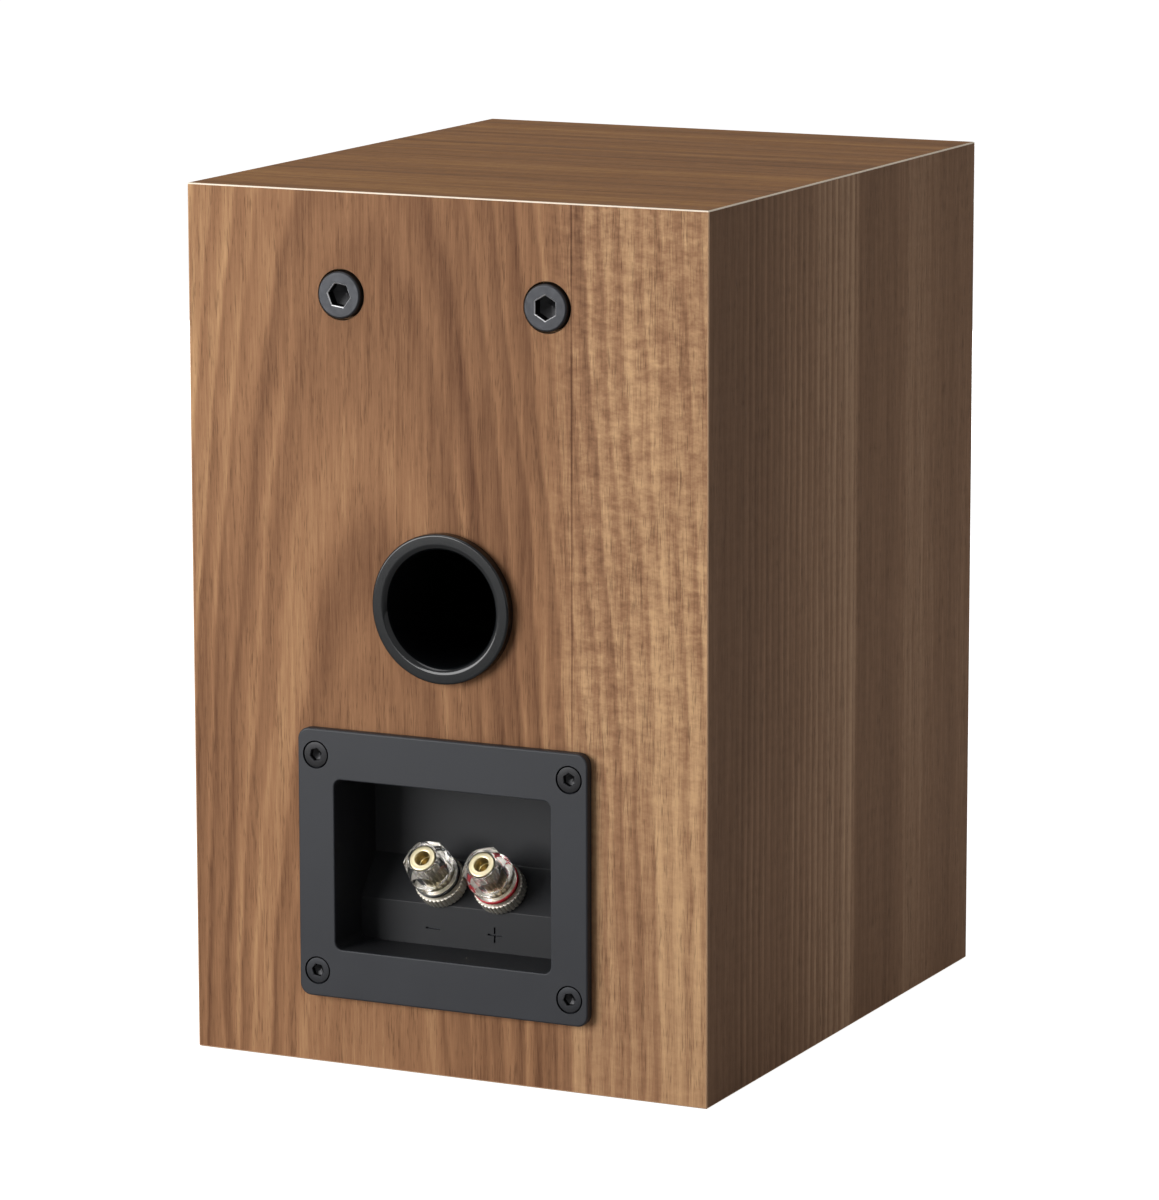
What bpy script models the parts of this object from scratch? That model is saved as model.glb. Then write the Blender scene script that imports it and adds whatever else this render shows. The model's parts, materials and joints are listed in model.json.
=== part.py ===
"""A small two-way bookshelf speaker, standing on its base with its front baffle facing -Y.

Metres, +Z up, origin on the floor under the middle of the whole. Depths called d run inwards from the
front baffle (or, for what the rear panel carries, outwards from the rear face); s runs out along a
binding post's axis from the sloped face that carries it.
"""

import math

import bmesh
import bpy
from mathutils import Matrix

# Cabinet
WIDTH = 0.164
DEPTH = 0.196
HEIGHT = 0.255
WALL = 0.012
BAFFLE_THICK = 0.018
GAP = 0.0003  # between pieces that touch
SLIDE_FIT = 0.0004  # radial clearance of what moves or is pushed in
HEAD_EDGE = 0.0004  # height of a countersunk head's upright rim

# Reflex port, centred across the rear panel
PORT_Z = 0.1376
PORT_FLANGE_R = 0.0217
PORT_THROAT_R = 0.0170
PORT_WALL = 0.0018
PORT_LENGTH = 0.095
PORT_PROUD = 0.0034

# Wall-hanging bolts, M8 socket heads in threaded inserts
BOLT_SPACING = 0.065
BOLT_DOWN = 0.0296  # below the top
BOLT_HEAD_R = 0.0069
BOLT_HEAD_TALL = 0.0046
BOLT_PROUD = 0.0014
BOLT_R = 0.0040
BOLT_LENGTH = 0.016
BOLT_SOCKET = 0.0060
BOLT_SOCKET_DEEP = 0.0034
INSERT_R = 0.0056
INSERT_FLANGE_R = 0.0090
INSERT_FLANGE_THICK = 0.0016

# Terminal cup
PLATE_WIDE = 0.0925
PLATE_TALL = 0.0793
PLATE_Z = 0.0600
PLATE_THICK = 0.0020
PLATE_CORNER = 0.0035
SEAL_THICK = 0.0006
WINDOW_WIDE = 0.0692
WINDOW_TALL = 0.0503
CUP_DEEP = 0.0225
CUP_WALL = 0.0022
SHELF_DEEP = 0.0133  # depth of the upright face below the slope
SHELF_TALL = 0.0110
PLATE_SCREW_WIDE = 0.0809
PLATE_SCREW_TALL = 0.0639

# Binding posts, a pair at the standard 19 mm
POST_PITCH = 0.019
POST_TILT = math.radians(38)  # how far the posts point above level
ROD_R = 0.0026
BANANA_R = 0.0020
ROD_TOP = 0.0140
ROD_TAIL = 0.0120
COLLAR_R = 0.0076
COLLAR_THICK = 0.0040
WASHER_R = 0.0064
WASHER_THICK = 0.0006
BAND_R = 0.00675
BAND_THICK = 0.0010
CAP_SKIRT_R = 0.0070
CAP_SKIRT_TALL = 0.0046
CAP_ACROSS = 0.0121
CAP_TOP = 0.0175
CAP_CHAMFER = 0.0020
CAP_FACETS = 6
SLEEVE_WALL = 0.00095
SLEEVE_TOP = 0.0178
NUT_ACROSS = 0.0090
NUT_THICK = 0.0032

# Woofer
WOOFER_Z = 0.0823
WOOFER_FRAME_R = 0.063
WOOFER_FRAME_THICK = 0.0040
WOOFER_HOLE_R = 0.053
WOOFER_SEAL_THICK = 0.0007
WOOFER_LEDGE_R = 0.0500
WOOFER_LEDGE_DEEP = 0.0056
WOOFER_SCREW_CIRCLE = 0.0572
WOOFER_SCREWS = 4
ROLL_R = 0.0034
CONE_THICK = 0.0008
CONE_NECK_D = 0.0254
COIL_R = 0.0128  # outside of the former
COIL_WALL = 0.0005
COIL_END_D = 0.0430
SPIDER_D = 0.0272
SPIDER_R = 0.0366
SPIDER_THICK = 0.0008
BASKET_D = 0.0385
BASKET_WINDOWS = 8
TOP_PLATE_THICK = 0.0040
MAGNET_R = 0.0375
MAGNET_THICK = 0.0130
YOKE_THICK = 0.0045

# Tweeter
TWEETER_DOWN = 0.0613  # below the top
TWEETER_PLATE_R = 0.042
TWEETER_PLATE_THICK = 0.0035
TWEETER_HOLE_R = 0.0345
TWEETER_MOUTH_R = 0.0156
TWEETER_SCREW_CIRCLE = 0.0380
TWEETER_SCREWS = 3
DOME_R = 0.0126
DOME_BASE_D = 0.0054
DOME_TALL = 0.0038
TWEETER_MOTOR_R = 0.0325
TWEETER_MOTOR_D = 0.0260

# Crossover, leads and wadding
BOARD_WIDE = 0.090
BOARD_DEEP = 0.058
BOARD_THICK = 0.0016
BOARD_Y = 0.020
CHOKE_R = 0.018
CHOKE_TALL = 0.016
CAPACITOR_R = 0.008
CAPACITOR_LONG = 0.030
LEAD_R = 0.0013

# Derived places and sizes
BOLT_Z = HEIGHT - BOLT_DOWN
TWEETER_Z = HEIGHT - TWEETER_DOWN
FRONT_Y = -(DEPTH + PORT_PROUD) / 2
REAR_Y = FRONT_Y + DEPTH
INNER_X = WIDTH / 2 - WALL
PLATE_FACE_Y = REAR_Y + SEAL_THICK + 2 * GAP + PLATE_THICK
WINDOW_LOW = PLATE_Z - WINDOW_TALL / 2
WINDOW_HIGH = PLATE_Z + WINDOW_TALL / 2
SLOPE_LOW_Z = WINDOW_LOW + SHELF_TALL
SLOPE_HIGH_Z = SLOPE_LOW_Z + (CUP_DEEP - SHELF_DEEP) / math.tan(POST_TILT)
POST_Y = REAR_Y - (CUP_DEEP + SHELF_DEEP) / 2
POST_Z = (SLOPE_LOW_Z + SLOPE_HIGH_Z) / 2
BOARD_TOP = WALL + GAP + BOARD_THICK
SLEEVE_R = ROD_R + SLIDE_FIT + SLEEVE_WALL
NECK_R = COIL_R + GAP
ROLL_CENTRE_R = WOOFER_LEDGE_R - 0.0060
CONE_EDGE_R = ROLL_CENTRE_R - ROLL_R + 0.0002
MOTOR_HOLE_R = COIL_R + 0.0052  # the frame's and the magnet's, clear of the moving coil

TO_Y = (-math.pi / 2, 0, 0)  # turns a local Z axis to world +Y


# Scene and materials
def start_scene():
    for obj in list(bpy.data.objects):
        bpy.data.objects.remove(obj)
    for name in ("bookshelf_speaker", "cutters"):
        bpy.context.scene.collection.children.link(bpy.data.collections.new(name))


def material(name, colour, roughness, metallic=0.0, transmission=0.0):
    made = bpy.data.materials.new(name)
    made.use_nodes = True
    shader = made.node_tree.nodes["Principled BSDF"]
    shader.inputs["Base Color"].default_value = (*colour, 1)
    shader.inputs["Roughness"].default_value = roughness
    shader.inputs["Metallic"].default_value = metallic
    shader.inputs["Transmission Weight"].default_value = transmission
    made.diffuse_color = (*colour, 1)
    return made


def make_materials():
    return {
        "walnut": material("walnut", (0.27, 0.14, 0.07), 0.5),
        "baffle_black": material("baffle_black", (0.02, 0.02, 0.02), 0.45),
        "satin_black": material("satin_black", (0.05, 0.05, 0.055), 0.45),
        "gloss_black": material("gloss_black", (0.012, 0.012, 0.014), 0.15),
        "black_steel": material("black_steel", (0.04, 0.04, 0.045), 0.35, 0.8),
        "zinc": material("zinc", (0.55, 0.55, 0.56), 0.35, 1.0),
        "gold": material("gold", (0.85, 0.65, 0.3), 0.2, 1.0),
        "nickel": material("nickel", (0.72, 0.7, 0.65), 0.25, 1.0),
        "acrylic": material("acrylic", (0.9, 0.9, 0.92), 0.05, 0.0, 0.9),
        "red_plastic": material("red_plastic", (0.5, 0.01, 0.03), 0.3),
        "black_plastic": material("black_plastic", (0.01, 0.01, 0.01), 0.3),
        "rubber": material("rubber", (0.015, 0.015, 0.015), 0.6),
        "paper_cone": material("paper_cone", (0.05, 0.05, 0.05), 0.7),
        "silk": material("silk", (0.02, 0.02, 0.02), 0.6),
        "spider_cloth": material("spider_cloth", (0.5, 0.36, 0.15), 0.9),
        "ferrite": material("ferrite", (0.05, 0.05, 0.055), 0.6),
        "copper": material("copper", (0.7, 0.32, 0.15), 0.3, 1.0),
        "board_green": material("board_green", (0.03, 0.16, 0.06), 0.5),
        "film_yellow": material("film_yellow", (0.75, 0.55, 0.08), 0.4),
        "wadding_white": material("wadding_white", (0.8, 0.8, 0.78), 1.0),
    }


# Modelling helpers
def place(name, mesh, finish, location=(0, 0, 0), rotation=(0, 0, 0), parent=None):
    obj = bpy.data.objects.new(name, mesh)
    obj.location = location
    obj.rotation_euler = rotation
    obj.parent = parent
    if finish:
        mesh.materials.append(finish)
        bpy.data.collections["bookshelf_speaker"].objects.link(obj)
    else:
        obj.hide_render = True
        obj.display_type = "WIRE"
        bpy.data.collections["cutters"].objects.link(obj)
    return obj


def mesh_from(name, form):
    mesh = bpy.data.meshes.new(name)
    form.to_mesh(mesh)
    form.free()
    return mesh


def box(name, low, high, finish=None, corner=0.0):
    """A box between two corners. Its edges along Y are rounded where a corner radius is given."""
    form = bmesh.new()
    bmesh.ops.create_cube(form, size=1)
    for vertex in form.verts:
        vertex.co = [a + (part + 0.5) * (b - a) for a, b, part in zip(low, high, vertex.co)]
    if corner:
        along = [e for e in form.edges if abs(e.verts[0].co.y - e.verts[1].co.y) > 1e-6]
        bmesh.ops.bevel(form, geom=along, offset=corner, segments=5, affect="EDGES", profile=0.5)
    return place(name, mesh_from(name, form), finish)


def turned(name, profile, finish=None, steps=20, **where):
    """A shape turned about local Z from (radius, height) points: a ring, or a solid from axis to axis."""
    around = zip(profile, profile[1:] + profile[:1])
    if sum(a[0] * b[1] - b[0] * a[1] for a, b in around) > 0:
        profile = profile[::-1]
    count = len(profile)
    links = [(i, i + 1) for i in range(count - 1)]
    if profile[0][0] > 0:
        links.append((count - 1, 0))
    mesh = bpy.data.meshes.new(name)
    mesh.from_pydata([(r, 0, h) for r, h in profile], links, [])
    obj = place(name, mesh, finish, **where)
    screw = obj.modifiers.new("turn", "SCREW")
    screw.steps = screw.render_steps = steps
    screw.use_merge_vertices = True
    screw.merge_threshold = 0.00001
    screw.use_smooth_shade = False
    return obj


def ring(name, inner, outer, start, end, finish=None, steps=20, **where):
    return turned(name, [(inner, start), (inner, end), (outer, end), (outer, start)], finish, steps, **where)


def prism(name, across_flats, sides, start, end, finish=None, turn=0.0, **where):
    """A regular prism along local Z, and a plain cylinder where it has many sides."""
    form = bmesh.new()
    radius = across_flats / 2 / math.cos(math.pi / sides)
    bmesh.ops.create_cone(
        form, cap_ends=True, segments=sides, radius1=radius, radius2=radius, depth=end - start
    )
    bmesh.ops.rotate(form, cent=(0, 0, 0), matrix=Matrix.Rotation(turn, 3, "Z"), verts=form.verts)
    bmesh.ops.translate(form, vec=(0, 0, (start + end) / 2), verts=form.verts)
    return place(name, mesh_from(name, form), finish, **where)


def extruded(name, outline, half_width, finish=None):
    """A (y, z) outline drawn out along X to both sides of the middle."""
    curve = bpy.data.curves.new(name, "CURVE")
    curve.dimensions = "2D"
    curve.fill_mode = "BOTH"
    curve.extrude = half_width
    spline = curve.splines.new("POLY")
    spline.points.add(len(outline) - 1)
    for point, (y, z) in zip(spline.points, outline):
        point.co = (y, z, 0, 1)
    spline.use_cyclic_u = True
    guide = bpy.data.objects.new(name + "_outline", curve)
    bpy.context.scene.collection.objects.link(guide)
    guide.rotation_euler = (math.pi / 2, 0, math.pi / 2)
    bpy.context.view_layer.update()
    filled = guide.evaluated_get(bpy.context.evaluated_depsgraph_get())
    mesh = bpy.data.meshes.new_from_object(filled)
    mesh.transform(guide.matrix_world)
    bpy.data.objects.remove(guide)
    form = bmesh.new()
    form.from_mesh(mesh)
    bmesh.ops.remove_doubles(form, verts=form.verts, dist=1e-6)
    bmesh.ops.recalc_face_normals(form, faces=form.faces)
    form.to_mesh(mesh)
    form.free()
    mesh.materials.clear()
    return place(name, mesh, finish)


def lead(name, points, finish, radius=LEAD_R):
    """A wire along a smooth curve through its points."""
    guide = bpy.data.curves.new(name + "_guide", "CURVE")
    guide.dimensions = "3D"
    guide.resolution_u = 4
    path = guide.splines.new("BEZIER")
    path.bezier_points.add(len(points) - 1)
    for knot, point in zip(path.bezier_points, points):
        knot.co = point
        knot.handle_left_type = knot.handle_right_type = "AUTO"
    helper = bpy.data.objects.new(name + "_guide", guide)
    bpy.context.scene.collection.objects.link(helper)
    bpy.context.view_layer.update()
    drawn = bpy.data.meshes.new_from_object(helper.evaluated_get(bpy.context.evaluated_depsgraph_get()))
    route = [v.co.copy() for v in drawn.vertices]
    bpy.data.objects.remove(helper)
    bpy.data.meshes.remove(drawn)
    curve = bpy.data.curves.new(name, "CURVE")
    curve.dimensions = "3D"
    curve.bevel_depth = radius
    curve.bevel_resolution = 1
    curve.use_fill_caps = True
    spline = curve.splines.new("POLY")
    spline.points.add(len(route) - 1)
    for point, place_at in zip(spline.points, route):
        point.co = (*place_at, 1)
    curve.materials.append(finish)
    obj = bpy.data.objects.new(name, curve)
    bpy.data.collections["bookshelf_speaker"].objects.link(obj)
    return obj


def combine(obj, other, operation="DIFFERENCE"):
    boolean = obj.modifiers.new(other.name, "BOOLEAN")
    boolean.operation = operation
    boolean.object = other


def on_circle(count, radius, first=0.0):
    turns = [first + 2 * math.pi * i / count for i in range(count)]
    return [(radius * math.cos(a), radius * math.sin(a)) for a in turns]


def countersunk_screw(name, head_r, shank_r, length, socket, finish, **where):
    """A flush screw pointing down local Z from its head at zero, with a hex socket."""
    cone = head_r - shank_r
    profile = [
        (0, 0), (head_r, 0), (head_r, -HEAD_EDGE), (shank_r, -HEAD_EDGE - cone),
        (shank_r, -length + shank_r), (0, -length),
    ]
    screw = turned(name, profile, finish, 12, **where)
    combine(screw, prism(name + "_socket", socket, 6, -cone * 0.9, 0.001, **where))
    return screw


def screw_hole(name, head_r, shank_r, length, **where):
    """The cutter of that screw's hole, its clearance all round it."""
    cone = head_r - shank_r
    fit = SLIDE_FIT
    profile = [
        (0, 0.002), (head_r + fit, 0.002), (head_r + fit, -HEAD_EDGE - fit),
        (shank_r + fit, -HEAD_EDGE - cone - fit), (shank_r + fit, -length - fit), (0, -length - fit),
    ]
    return turned(name, profile, steps=12, **where)


# Cabinet: panels mitred where they meet, so that the wood grain wraps round the edges
def mitred_panel(name, low, high, inner_face, square_edges, finish):
    """A panel whose inner face is smaller by the wall on each edge but its square ones.

    inner_face is (axis, side) of the face that looks into the cabinet; square_edges lists (axis, side).
    """
    panel = box(name, low, high, finish)
    mesh = panel.data
    ends = (low, high)
    axis, side = inner_face
    for vertex in mesh.vertices:
        on_inner = abs(vertex.co[axis] - ends[side][axis]) < 1e-6
        for other in {0, 1, 2} - {axis}:
            edge = int(abs(vertex.co[other] - high[other]) < 1e-6)
            if (other, edge) not in square_edges:
                pull = (WALL if on_inner else 0) + GAP / 2
                vertex.co[other] += -pull if edge else pull
    return panel


def cabinet(finishes):
    walnut = finishes["walnut"]
    half = WIDTH / 2
    front = [(1, 0)]
    left = ((-half, FRONT_Y, 0), (-half + WALL, REAR_Y, HEIGHT))
    right = ((half - WALL, FRONT_Y, 0), (half, REAR_Y, HEIGHT))
    mitred_panel("left_panel", *left, (0, 1), front, walnut)
    mitred_panel("right_panel", *right, (0, 0), front, walnut)
    bottom = ((-half, FRONT_Y, 0), (half, REAR_Y, WALL))
    top = ((-half, FRONT_Y, HEIGHT - WALL), (half, REAR_Y, HEIGHT))
    mitred_panel("bottom_panel", *bottom, (2, 1), front, walnut)
    mitred_panel("top_panel", *top, (2, 0), front, walnut)
    rear = mitred_panel(
        "rear_panel", (-half, REAR_Y - WALL, 0), (half, REAR_Y, HEIGHT), (1, 0), [], walnut
    )
    through = 0.004
    port_hole = PORT_THROAT_R + PORT_WALL + SLIDE_FIT
    combine(rear, prism("port_hole", 2 * port_hole, 40, -WALL - through, through, **on_rear(0, PORT_Z)))
    for side in (-1, 1):
        spot = on_rear(side * BOLT_SPACING / 2, BOLT_Z)
        bore = INSERT_R + SLIDE_FIT
        sink = BOLT_HEAD_R + SLIDE_FIT
        deep = BOLT_HEAD_TALL - BOLT_PROUD + GAP
        combine(rear, prism(f"insert_bore_{side}", 2 * bore, 24, -WALL - through, -deep / 2, **spot))
        combine(rear, prism(f"head_sink_{side}", 2 * sink, 32, -deep, through, **spot))
    cut = cup_outline(CUP_WALL + SLIDE_FIT, REAR_Y + through)
    combine(rear, extruded("terminal_cut_out", cut, WINDOW_WIDE / 2 + CUP_WALL + SLIDE_FIT))


def on_rear(x, z, y=REAR_Y):
    return {"location": (x, y, z), "rotation": TO_Y}


def on_front(x, z):
    return {"location": (x, FRONT_Y, z), "rotation": TO_Y}


def into_front(x, z):
    """Where a front screw stands: its local Z points out of the baffle."""
    return {"location": (x, FRONT_Y, z), "rotation": (math.pi / 2, 0, 0)}


def front_baffle(finishes):
    baffle = box(
        "front_baffle",
        (-INNER_X + GAP, FRONT_Y, WALL + GAP),
        (INNER_X - GAP, FRONT_Y + BAFFLE_THICK, HEIGHT - WALL - GAP),
        finishes["baffle_black"],
    )
    out, through = -0.002, BAFFLE_THICK + 0.002
    woofer_seat = WOOFER_FRAME_THICK + WOOFER_SEAL_THICK + 2 * GAP
    tweeter_seat = TWEETER_PLATE_THICK + GAP
    holes = (
        ("woofer_seat", WOOFER_FRAME_R + SLIDE_FIT, woofer_seat, WOOFER_Z),
        ("woofer_hole", WOOFER_HOLE_R, through, WOOFER_Z),
        ("tweeter_seat", TWEETER_PLATE_R + SLIDE_FIT, tweeter_seat, TWEETER_Z),
        ("tweeter_hole", TWEETER_HOLE_R, through, TWEETER_Z),
    )
    for name, radius, deep, z in holes:
        combine(baffle, prism(name, 2 * radius, 36, out, deep, **on_front(0, z)))
    for name, spots, sizes in driver_screws():
        for number, spot in enumerate(spots, 1):
            combine(baffle, screw_hole(f"{name}_hole_{number}", *sizes, **into_front(*spot)))


def driver_screws():
    """Each driver's name, the places of its screws, and their head radius, shank radius and length."""
    woofer = on_circle(WOOFER_SCREWS, WOOFER_SCREW_CIRCLE, math.pi / 4)
    tweeter = on_circle(TWEETER_SCREWS, TWEETER_SCREW_CIRCLE, math.pi / 2)
    return (
        ("woofer_screw", [(x, WOOFER_Z + z) for x, z in woofer], (0.0036, 0.0019, 0.016)),
        ("tweeter_screw", [(x, TWEETER_Z + z) for x, z in tweeter], (0.0029, 0.0015, 0.014)),
    )


# What the rear panel carries
def wall_bolts(finishes):
    for side, word in ((-1, "right"), (1, "left")):
        spot = on_rear(side * BOLT_SPACING / 2, BOLT_Z)
        low = BOLT_PROUD - BOLT_HEAD_TALL
        edge = 0.0006
        profile = [
            (0, BOLT_PROUD), (BOLT_HEAD_R - edge, BOLT_PROUD), (BOLT_HEAD_R, BOLT_PROUD - edge),
            (BOLT_HEAD_R, low), (BOLT_R, low), (BOLT_R, low - BOLT_LENGTH), (0, low - BOLT_LENGTH),
        ]
        bolt = turned(f"wall_bolt_{word}", profile, finishes["black_steel"], 28, **spot)
        socket = (BOLT_PROUD - BOLT_SOCKET_DEEP, BOLT_PROUD + 0.001)
        turn = math.pi / 6 if side < 0 else 0
        combine(bolt, prism(f"bolt_socket_{word}", BOLT_SOCKET, 6, *socket, turn=turn, **spot))
        bore = BOLT_R + SLIDE_FIT
        start = low - 2 * GAP
        end = -WALL - GAP - INSERT_FLANGE_THICK
        barrel = [
            (bore, start), (INSERT_R, start), (INSERT_R, -WALL - GAP), (INSERT_FLANGE_R, -WALL - GAP),
            (INSERT_FLANGE_R, end), (bore, end),
        ]
        turned(f"wall_insert_{word}", barrel, finishes["zinc"], 20, **spot)


def port_tube(finishes):
    """One moulding: a flange that rolls over into the throat, and the tube behind it."""
    lip = PORT_PROUD / 2
    roll = [math.radians(a) for a in range(0, 181, 30)]
    mid_r = (PORT_FLANGE_R + PORT_THROAT_R) / 2
    wide = (PORT_FLANGE_R - PORT_THROAT_R) / 2
    profile = [(mid_r + wide * math.cos(a), lip + lip * math.sin(a)) for a in roll]
    profile += [
        (PORT_THROAT_R, -PORT_LENGTH), (PORT_THROAT_R + PORT_WALL, -PORT_LENGTH),
        (PORT_THROAT_R + PORT_WALL, GAP), (PORT_FLANGE_R, GAP),
    ]
    turned("port_tube", profile, finishes["gloss_black"], 36, **on_rear(0, PORT_Z))


def cup_outline(wall, mouth_y):
    """The terminal recess seen from the side, grown by a wall: back wall, slope and upright lower face."""
    deep = REAR_Y - CUP_DEEP - wall
    shelf = REAR_Y - SHELF_DEEP - wall

    def slope_z(y):
        return POST_Z - (wall + math.cos(POST_TILT) * (y - POST_Y)) / math.sin(POST_TILT)

    return [
        (mouth_y, WINDOW_HIGH + wall), (deep, WINDOW_HIGH + wall), (deep, slope_z(deep)),
        (shelf, slope_z(shelf)), (shelf, WINDOW_LOW - wall), (mouth_y, WINDOW_LOW - wall),
    ]


def plate_screw_places():
    wide, tall = PLATE_SCREW_WIDE / 2, PLATE_SCREW_TALL / 2
    return [(x, PLATE_Z + z) for z in (tall, -tall) for x in (wide, -wide)]


def terminal_cup(finishes):
    wide, tall = PLATE_WIDE / 2, PLATE_TALL / 2
    back = PLATE_FACE_Y - PLATE_THICK
    cup = box(
        "terminal_cup", (-wide, back, PLATE_Z - tall), (wide, PLATE_FACE_Y, PLATE_Z + tall),
        finishes["satin_black"], PLATE_CORNER,
    )
    middle = (back + PLATE_FACE_Y) / 2
    body = extruded("cup_body", cup_outline(CUP_WALL, middle), WINDOW_WIDE / 2 + CUP_WALL)
    recess = extruded("cup_recess", cup_outline(0, PLATE_FACE_Y + 0.002), WINDOW_WIDE / 2)
    combine(cup, body, "UNION")
    combine(cup, recess)
    seal = box(
        "terminal_gasket", (-wide, REAR_Y + GAP, PLATE_Z - tall),
        (wide, REAR_Y + GAP + SEAL_THICK, PLATE_Z + tall), finishes["rubber"], PLATE_CORNER,
    )
    grown = CUP_WALL + GAP
    aside = WINDOW_WIDE / 2 + grown
    window = box(
        "gasket_window", (-aside, REAR_Y - CUP_WALL, WINDOW_LOW - grown),
        (aside, PLATE_FACE_Y, WINDOW_HIGH + grown),
    )
    combine(seal, window)
    sizes = (0.00385, 0.0019, 0.014)
    for number, (x, z) in enumerate(plate_screw_places(), 1):
        spot = on_rear(x, z, PLATE_FACE_Y)
        countersunk_screw(f"terminal_screw_{number}", *sizes, 0.0025, finishes["black_steel"], **spot)
        hole = screw_hole(f"terminal_screw_hole_{number}", *sizes, **spot)
        for piece in (cup, bpy.data.objects["rear_panel"]):
            combine(piece, hole)
        wide_hole = 2 * sizes[1] + 4 * SLIDE_FIT
        combine(seal, prism(f"gasket_hole_{number}", wide_hole, 16, -0.006, 0.001, **spot))
    return cup


def post_frame(side, word):
    """An empty on the slope whose local Z is the post's axis."""
    empty = bpy.data.objects.new(f"post_axis_{word}", None)
    bpy.data.collections["bookshelf_speaker"].objects.link(empty)
    empty.location = (side * POST_PITCH / 2, POST_Y, POST_Z)
    empty.rotation_euler = (POST_TILT - math.pi / 2, 0, 0)
    return empty


def binding_post(side, word, cup, band_finish, finishes):
    axis = {"parent": post_frame(side, word)}
    hole = ROD_R + SLIDE_FIT
    combine(cup, prism(f"post_hole_{word}", 2 * hole, 20, -2 * CUP_WALL, CUP_WALL, **axis))
    rod = [
        (0, ROD_TOP - 0.010), (BANANA_R, ROD_TOP - 0.010), (BANANA_R, ROD_TOP), (ROD_R, ROD_TOP),
        (ROD_R, -ROD_TAIL), (0, -ROD_TAIL),
    ]
    turned(f"post_rod_{word}", rod, finishes["gold"], 20, **axis)
    washer = GAP + COLLAR_THICK + GAP
    band = washer + WASHER_THICK + GAP
    cap = band + BAND_THICK + GAP
    ring(f"knurled_collar_{word}", hole, COLLAR_R, GAP, GAP + COLLAR_THICK, finishes["nickel"], **axis)
    ring(f"clamp_washer_{word}", hole, WASHER_R, washer, washer + WASHER_THICK, finishes["nickel"], **axis)
    bore = SLEEVE_R + GAP
    ring(f"colour_ring_{word}", bore, BAND_R, band, band + BAND_THICK, band_finish, **axis)
    step = ROD_TOP + GAP
    mouth = BANANA_R + 0.0002
    sleeve = [
        (SLEEVE_R, band), (SLEEVE_R, SLEEVE_TOP), (mouth, SLEEVE_TOP), (mouth, step), (hole, step),
        (hole, band),
    ]
    turned(f"post_sleeve_{word}", sleeve, finishes["gold"], 24, **axis)
    post_cap(word, cap, bore, axis, finishes["acrylic"])
    nut_top = -CUP_WALL - GAP
    nut = prism(
        f"post_nut_{word}", NUT_ACROSS, 6, nut_top - NUT_THICK, nut_top, finishes["nickel"], **axis
    )
    thread = prism(f"nut_thread_{word}", 2 * hole, 20, -4 * CUP_WALL, 0, **axis)
    combine(nut, thread)


def post_cap(word, start, bore, axis, finish):
    """The clear cap: a round skirt, facets above it and a chamfer round its end."""
    cap = ring(f"post_cap_{word}", bore, CAP_SKIRT_R, start, start + CAP_SKIRT_TALL, finish, **axis)
    flats = prism(f"cap_flats_{word}", CAP_ACROSS, CAP_FACETS, start + CAP_SKIRT_TALL / 2, CAP_TOP, **axis)
    corner = CAP_ACROSS / 2 / math.cos(math.pi / CAP_FACETS)
    end_r = corner - CAP_CHAMFER
    blank = [
        (0, start - 0.001), (corner, start - 0.001), (corner, CAP_TOP - CAP_CHAMFER), (end_r, CAP_TOP),
        (end_r, CAP_TOP + 0.001), (0, CAP_TOP + 0.001),
    ]
    shaper = turned(f"cap_shaper_{word}", blank, steps=24, **axis)
    combine(flats, shaper, "INTERSECT")
    combine(cap, flats, "UNION")
    combine(cap, prism(f"cap_bore_{word}", 2 * bore, 24, start - 0.001, CAP_TOP + 0.001, **axis))


# Woofer
def woofer(finishes):
    spot = on_front(0, WOOFER_Z)
    woofer_frame(finishes, spot)
    woofer_moving_parts(finishes, spot)
    woofer_motor(finishes, spot)


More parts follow.
